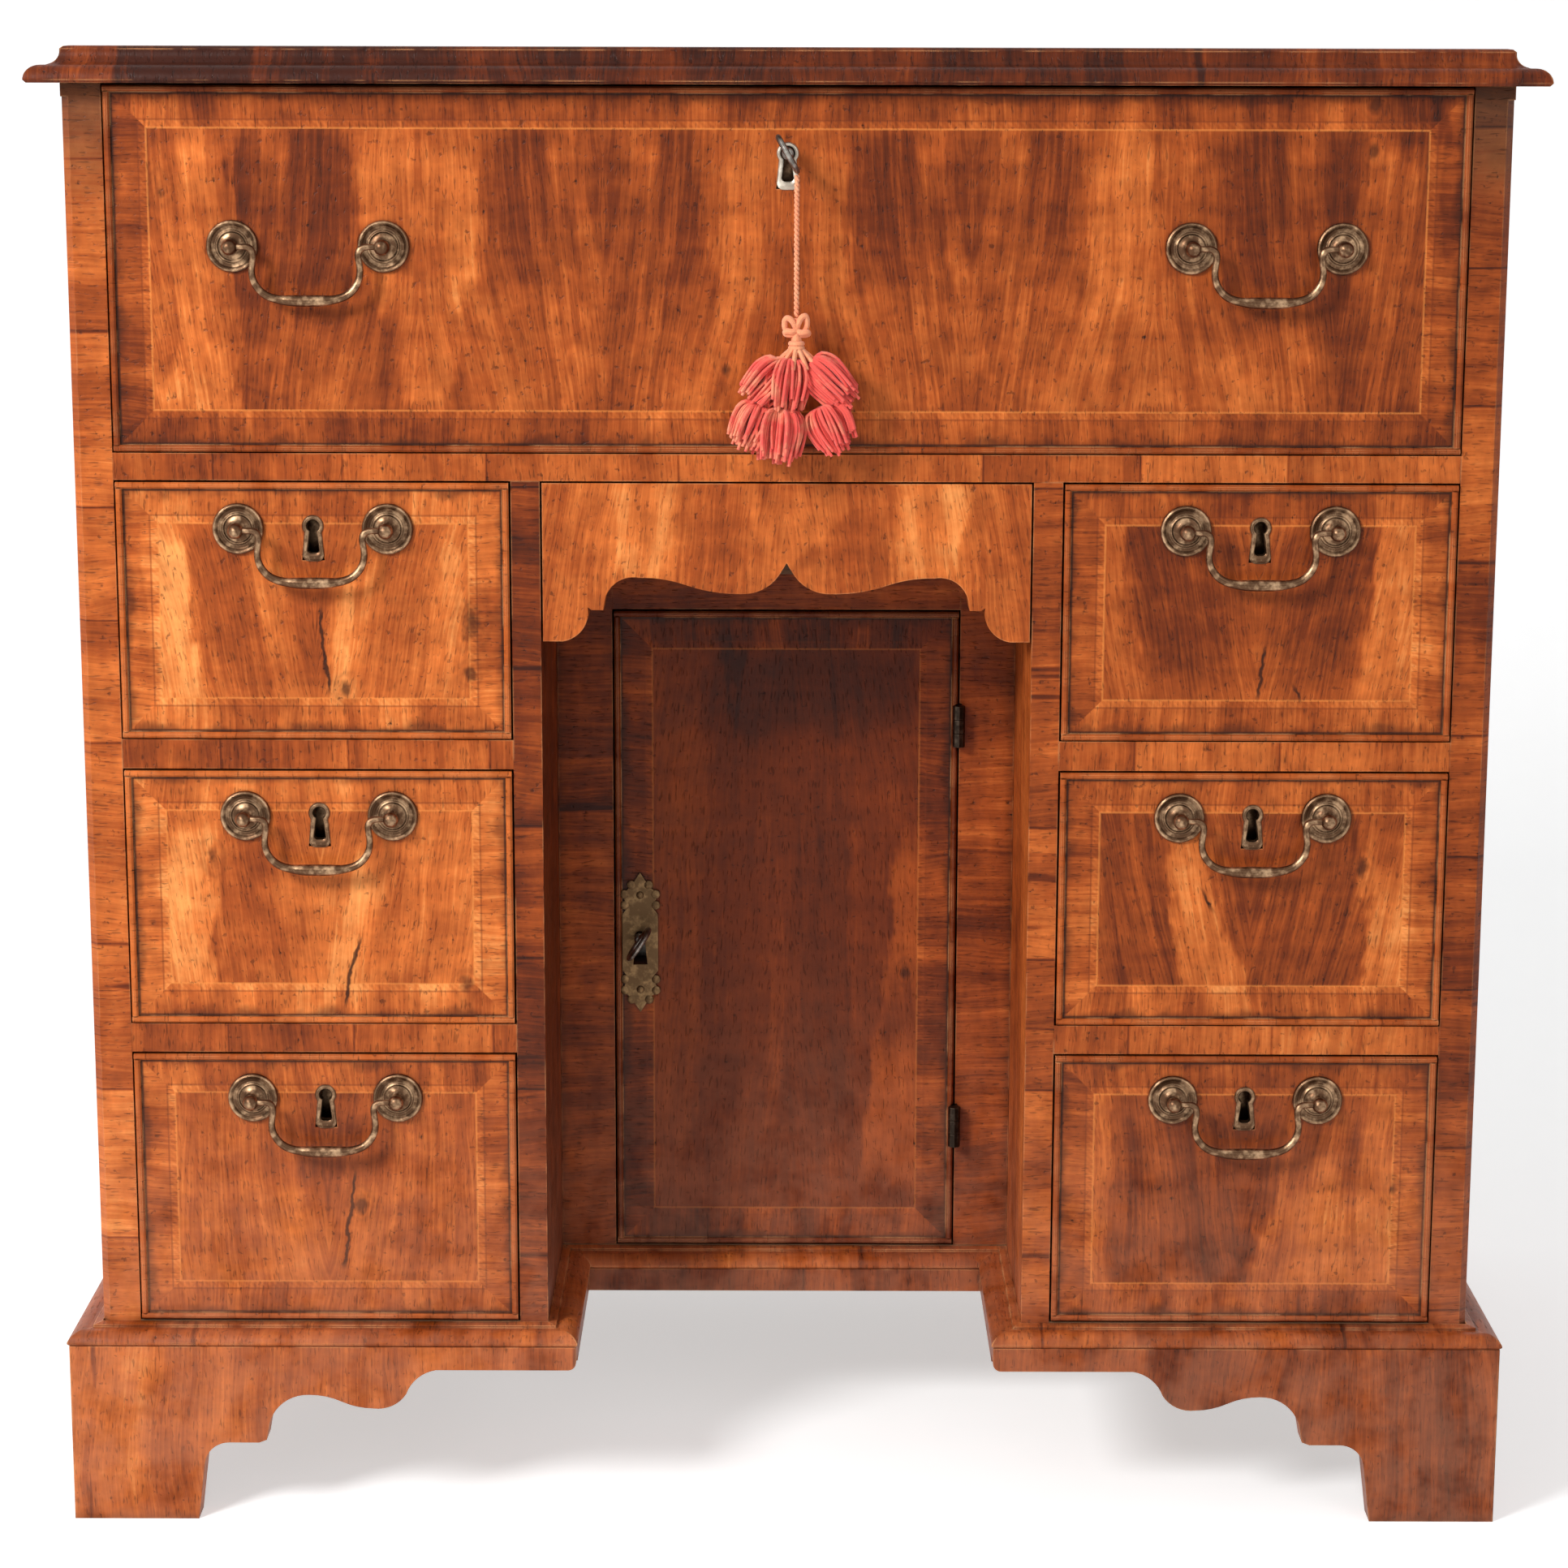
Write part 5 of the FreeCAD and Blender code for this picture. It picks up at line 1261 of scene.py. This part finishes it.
def tuft(pile, tie, way, radius, strands):
    """A bundle of yarn that leaves a tie, swells like a mop and falls open along a way."""
    side = Vector((way.z, 0, -way.x)).normalized()
    for number in range(strands):
        turn = dice.uniform(0, 2 * math.pi)
        share = math.sqrt(dice.uniform(0.02, 1))
        out = (side * math.cos(turn) + Vector((0, 0.75, 0)) * math.sin(turn)) * radius * share
        reach = dice.uniform(0.80, 1.06) * (1 - 0.18 * share * share)
        sway = Vector((dice.uniform(-1, 1), dice.uniform(-1, 1), dice.uniform(-1, 1))) * 1.6
        points = [
            tie + out * 0.12,
            tie + out * 0.75 + way * 0.03,
            tie + out * 1.05 + way * (0.35 * reach) + sway * 0.3,
            tie + out * 1.02 + way * (0.70 * reach) + sway * 0.6,
            tie + out * 0.90 + way * reach + sway,
        ]
        tube(pile, soft_line(points, 3), YARN, YARN_SIDES)


tassel_pile = Pile()
tufts = (
    ((-7, -25), (-18, -20), 11), ((-3, -22), (-3, -29), 14), ((7, -24), (22, -21), 12),
    ((-19, -46), (-9, -22), 11), ((-8, -48), (-3, -28), 15), ((13, -47), (11, -22), 12),
)
for (tie_x, tie_z), (way_x, way_z), radius in tufts:
    tie = knot_place + Vector((tie_x, dice.uniform(-2, 0), tie_z))
    tuft(tassel_pile, tie, Vector((way_x, 0, way_z)), radius, STRANDS)
piece_of("wool_tassel", tassel_pile.mesh("wool_tassel"), coral_wool, (0, 0, 0), "tassel",
         ["key_tassel"])
print(len(tassel_pile.faces), "faces of yarn")

# %% [markdown]
# Between string and tassel sits a knot: four loops of a bow, three turns of yarn wrapped under it, and
# loose ends that spray over the tufts. A ball would do from far away, but the bow stands out against the
# drawer front.

# %% Knot and string
bow_place = knot_place + Vector((0, 0, -7))
bow_yarn = 1.6
wrap_radius = 3.0
wrap_drops = (-14.0, -16.2, -18.4)
wrap_yarn = 1.4
wrap_steps = 16
spray_ends = 11
spray_yarn = 1.3
spray_shape = ((0, 0, -1), (0.8, 0.8, -9), (2.4, 2.4, -17), (8, 7, -21), (13, 9, -27))
thick_sides = 8
knot_pile = Pile()
for side, rise, width in ((-1, 5.0, 3.6), (1, 6.0, 3.2), (-1, -1.0, 3.4), (1, -1.5, 3.6)):
    near, far = side * width * 0.4, side * width * 1.7
    loop = [(0, 0, 0), (near, -2.4, rise), (far, -1.5, rise * 1.2 + 1), (far, 1.0, rise * 0.3 - 2),
            (near, -0.6, -2.5), (0, 0, -2)]
    bow_line = smooth_line([bow_place + Vector(point) for point in loop], 3, 5)
    tube(knot_pile, bow_line, bow_yarn, thick_sides)
for drop in wrap_drops:
    turns = [2 * math.pi * step / wrap_steps for step in range(wrap_steps)]
    wrap = [knot_place + Vector((wrap_radius * math.cos(turn), wrap_radius * math.sin(turn), drop))
            for turn in turns]
    tube(knot_pile, wrap, wrap_yarn, thick_sides, looped=True)
for step in range(spray_ends):
    turn = 2 * math.pi * step / spray_ends
    spray = [Vector((wide * math.cos(turn), deep * math.sin(turn), drop)) for wide, deep, drop in spray_shape]
    spray_line = smooth_line([knot_place + point for point in spray], 3, 4)
    tube(knot_pile, spray_line, spray_yarn, YARN_SIDES)
knot = piece_of("wool_knot", knot_pile.mesh("wool_knot"), peach_wool, (0, 0, 0), "tassel")

string = piece_of("key_string", string_mesh, peach_wool, (0, 0, 0), "tassel", ["key_cord"])
print("string hangs", string_length, "mm down to its knot")

# %% [markdown]
# The desk stands on a pale floor that sweeps up behind it without a corner. A white world alone would do
# for the background, but the feet need a floor to stand on.

# %% Stage
def looked_at(tree):
    """1 for rays that show the background, straight or in metal and glass, and 0 for others."""
    path = tree.nodes.new("ShaderNodeLightPath")
    rays = [Spread(tree, path.outputs[f"Is {kind} Ray"]) for kind in ("Camera", "Glossy", "Transmission")]
    return (rays[0] + rays[1] + rays[2]).least(1.0)


def pale_stage():
    mesh = bpy.data.meshes.new("pale_floor")
    reach = 6.0
    back, bend = 1.6, 1.0
    profile = [(-reach, 0.0), (back, 0.0)]
    profile += [(back + bend * math.sin(turn), bend - bend * math.cos(turn))
                for turn in [math.pi / 2 * step / 12 for step in range(1, 13)]]
    profile.append((back + bend, reach))
    points = [(side * reach, depth, rise) for depth, rise in profile for side in (-1, 1)]
    faces = [(2 * n, 2 * n + 1, 2 * n + 3, 2 * n + 2) for n in range(len(profile) - 1)]
    mesh.from_pydata(points, [], faces)
    mesh.polygons.foreach_set("use_smooth", [True] * len(mesh.polygons))
    floor = bpy.data.objects.new("pale_floor", mesh)
    bpy.context.scene.collection.objects.link(floor)
    finish, tree, shader = new_finish("pale_paper")
    x, y, z = coordinates(tree)
    grain = cloud(tree, vector_of(tree, x, y, z), 30.0, 3.0)
    paper = mixed(tree, grain, linear(240, 240, 240), linear(246, 246, 246))
    tree.links.new(paper, shader.inputs["Base Color"])
    shader.inputs["Roughness"].default_value = 0.9
    feed(tree, looked_at(tree) * 0.5, shader.inputs["Emission Strength"])
    shader.inputs["Emission Color"].default_value = (1, 1, 1, 1)
    mesh.materials.append(finish)


pale_stage()
print("a pale floor is laid")

# %% [markdown]
# Soft light comes from the upper left, as in the photograph, with a weaker fill, so that the kneehole
# stays in shade and the beads catch a highlight. The room is white where it is seen and dim where it
# lights the desk. A bright room all round would be simpler, but it would take the shadows away.

# %% Light
def soft_lamp(name, place, target, size, power):
    light = bpy.data.lights.new(name, "AREA")
    light.shape = "DISK"
    light.size = size
    light.energy = power
    lamp = bpy.data.objects.new(name, light)
    bpy.context.scene.collection.objects.link(lamp)
    aim = Vector(target) - Vector(place)
    lamp.matrix_world = Matrix.Translation(place) @ aim.to_track_quat("-Z", "Y").to_matrix().to_4x4()


soft_lamp("window_light", place=(-1.6, -1.9, 1.8), target=(0.05, 0, 0.4), size=0.75, power=56)
soft_lamp("fill_light", place=(1.8, -2.6, 1.8), target=(0, 0, 0.4), size=1.6, power=9)
world = bpy.data.worlds.new("room_light")
bpy.context.scene.world = world
world.use_nodes = True
background = world.node_tree.nodes["Background"]
background.inputs["Color"].default_value = (1, 1, 1, 1)
feed(world.node_tree, looked_at(world.node_tree) * 0.65 + 0.35, background.inputs["Strength"])
bpy.context.scene.view_settings.view_transform = "Standard"
print("two lamps and a pale room")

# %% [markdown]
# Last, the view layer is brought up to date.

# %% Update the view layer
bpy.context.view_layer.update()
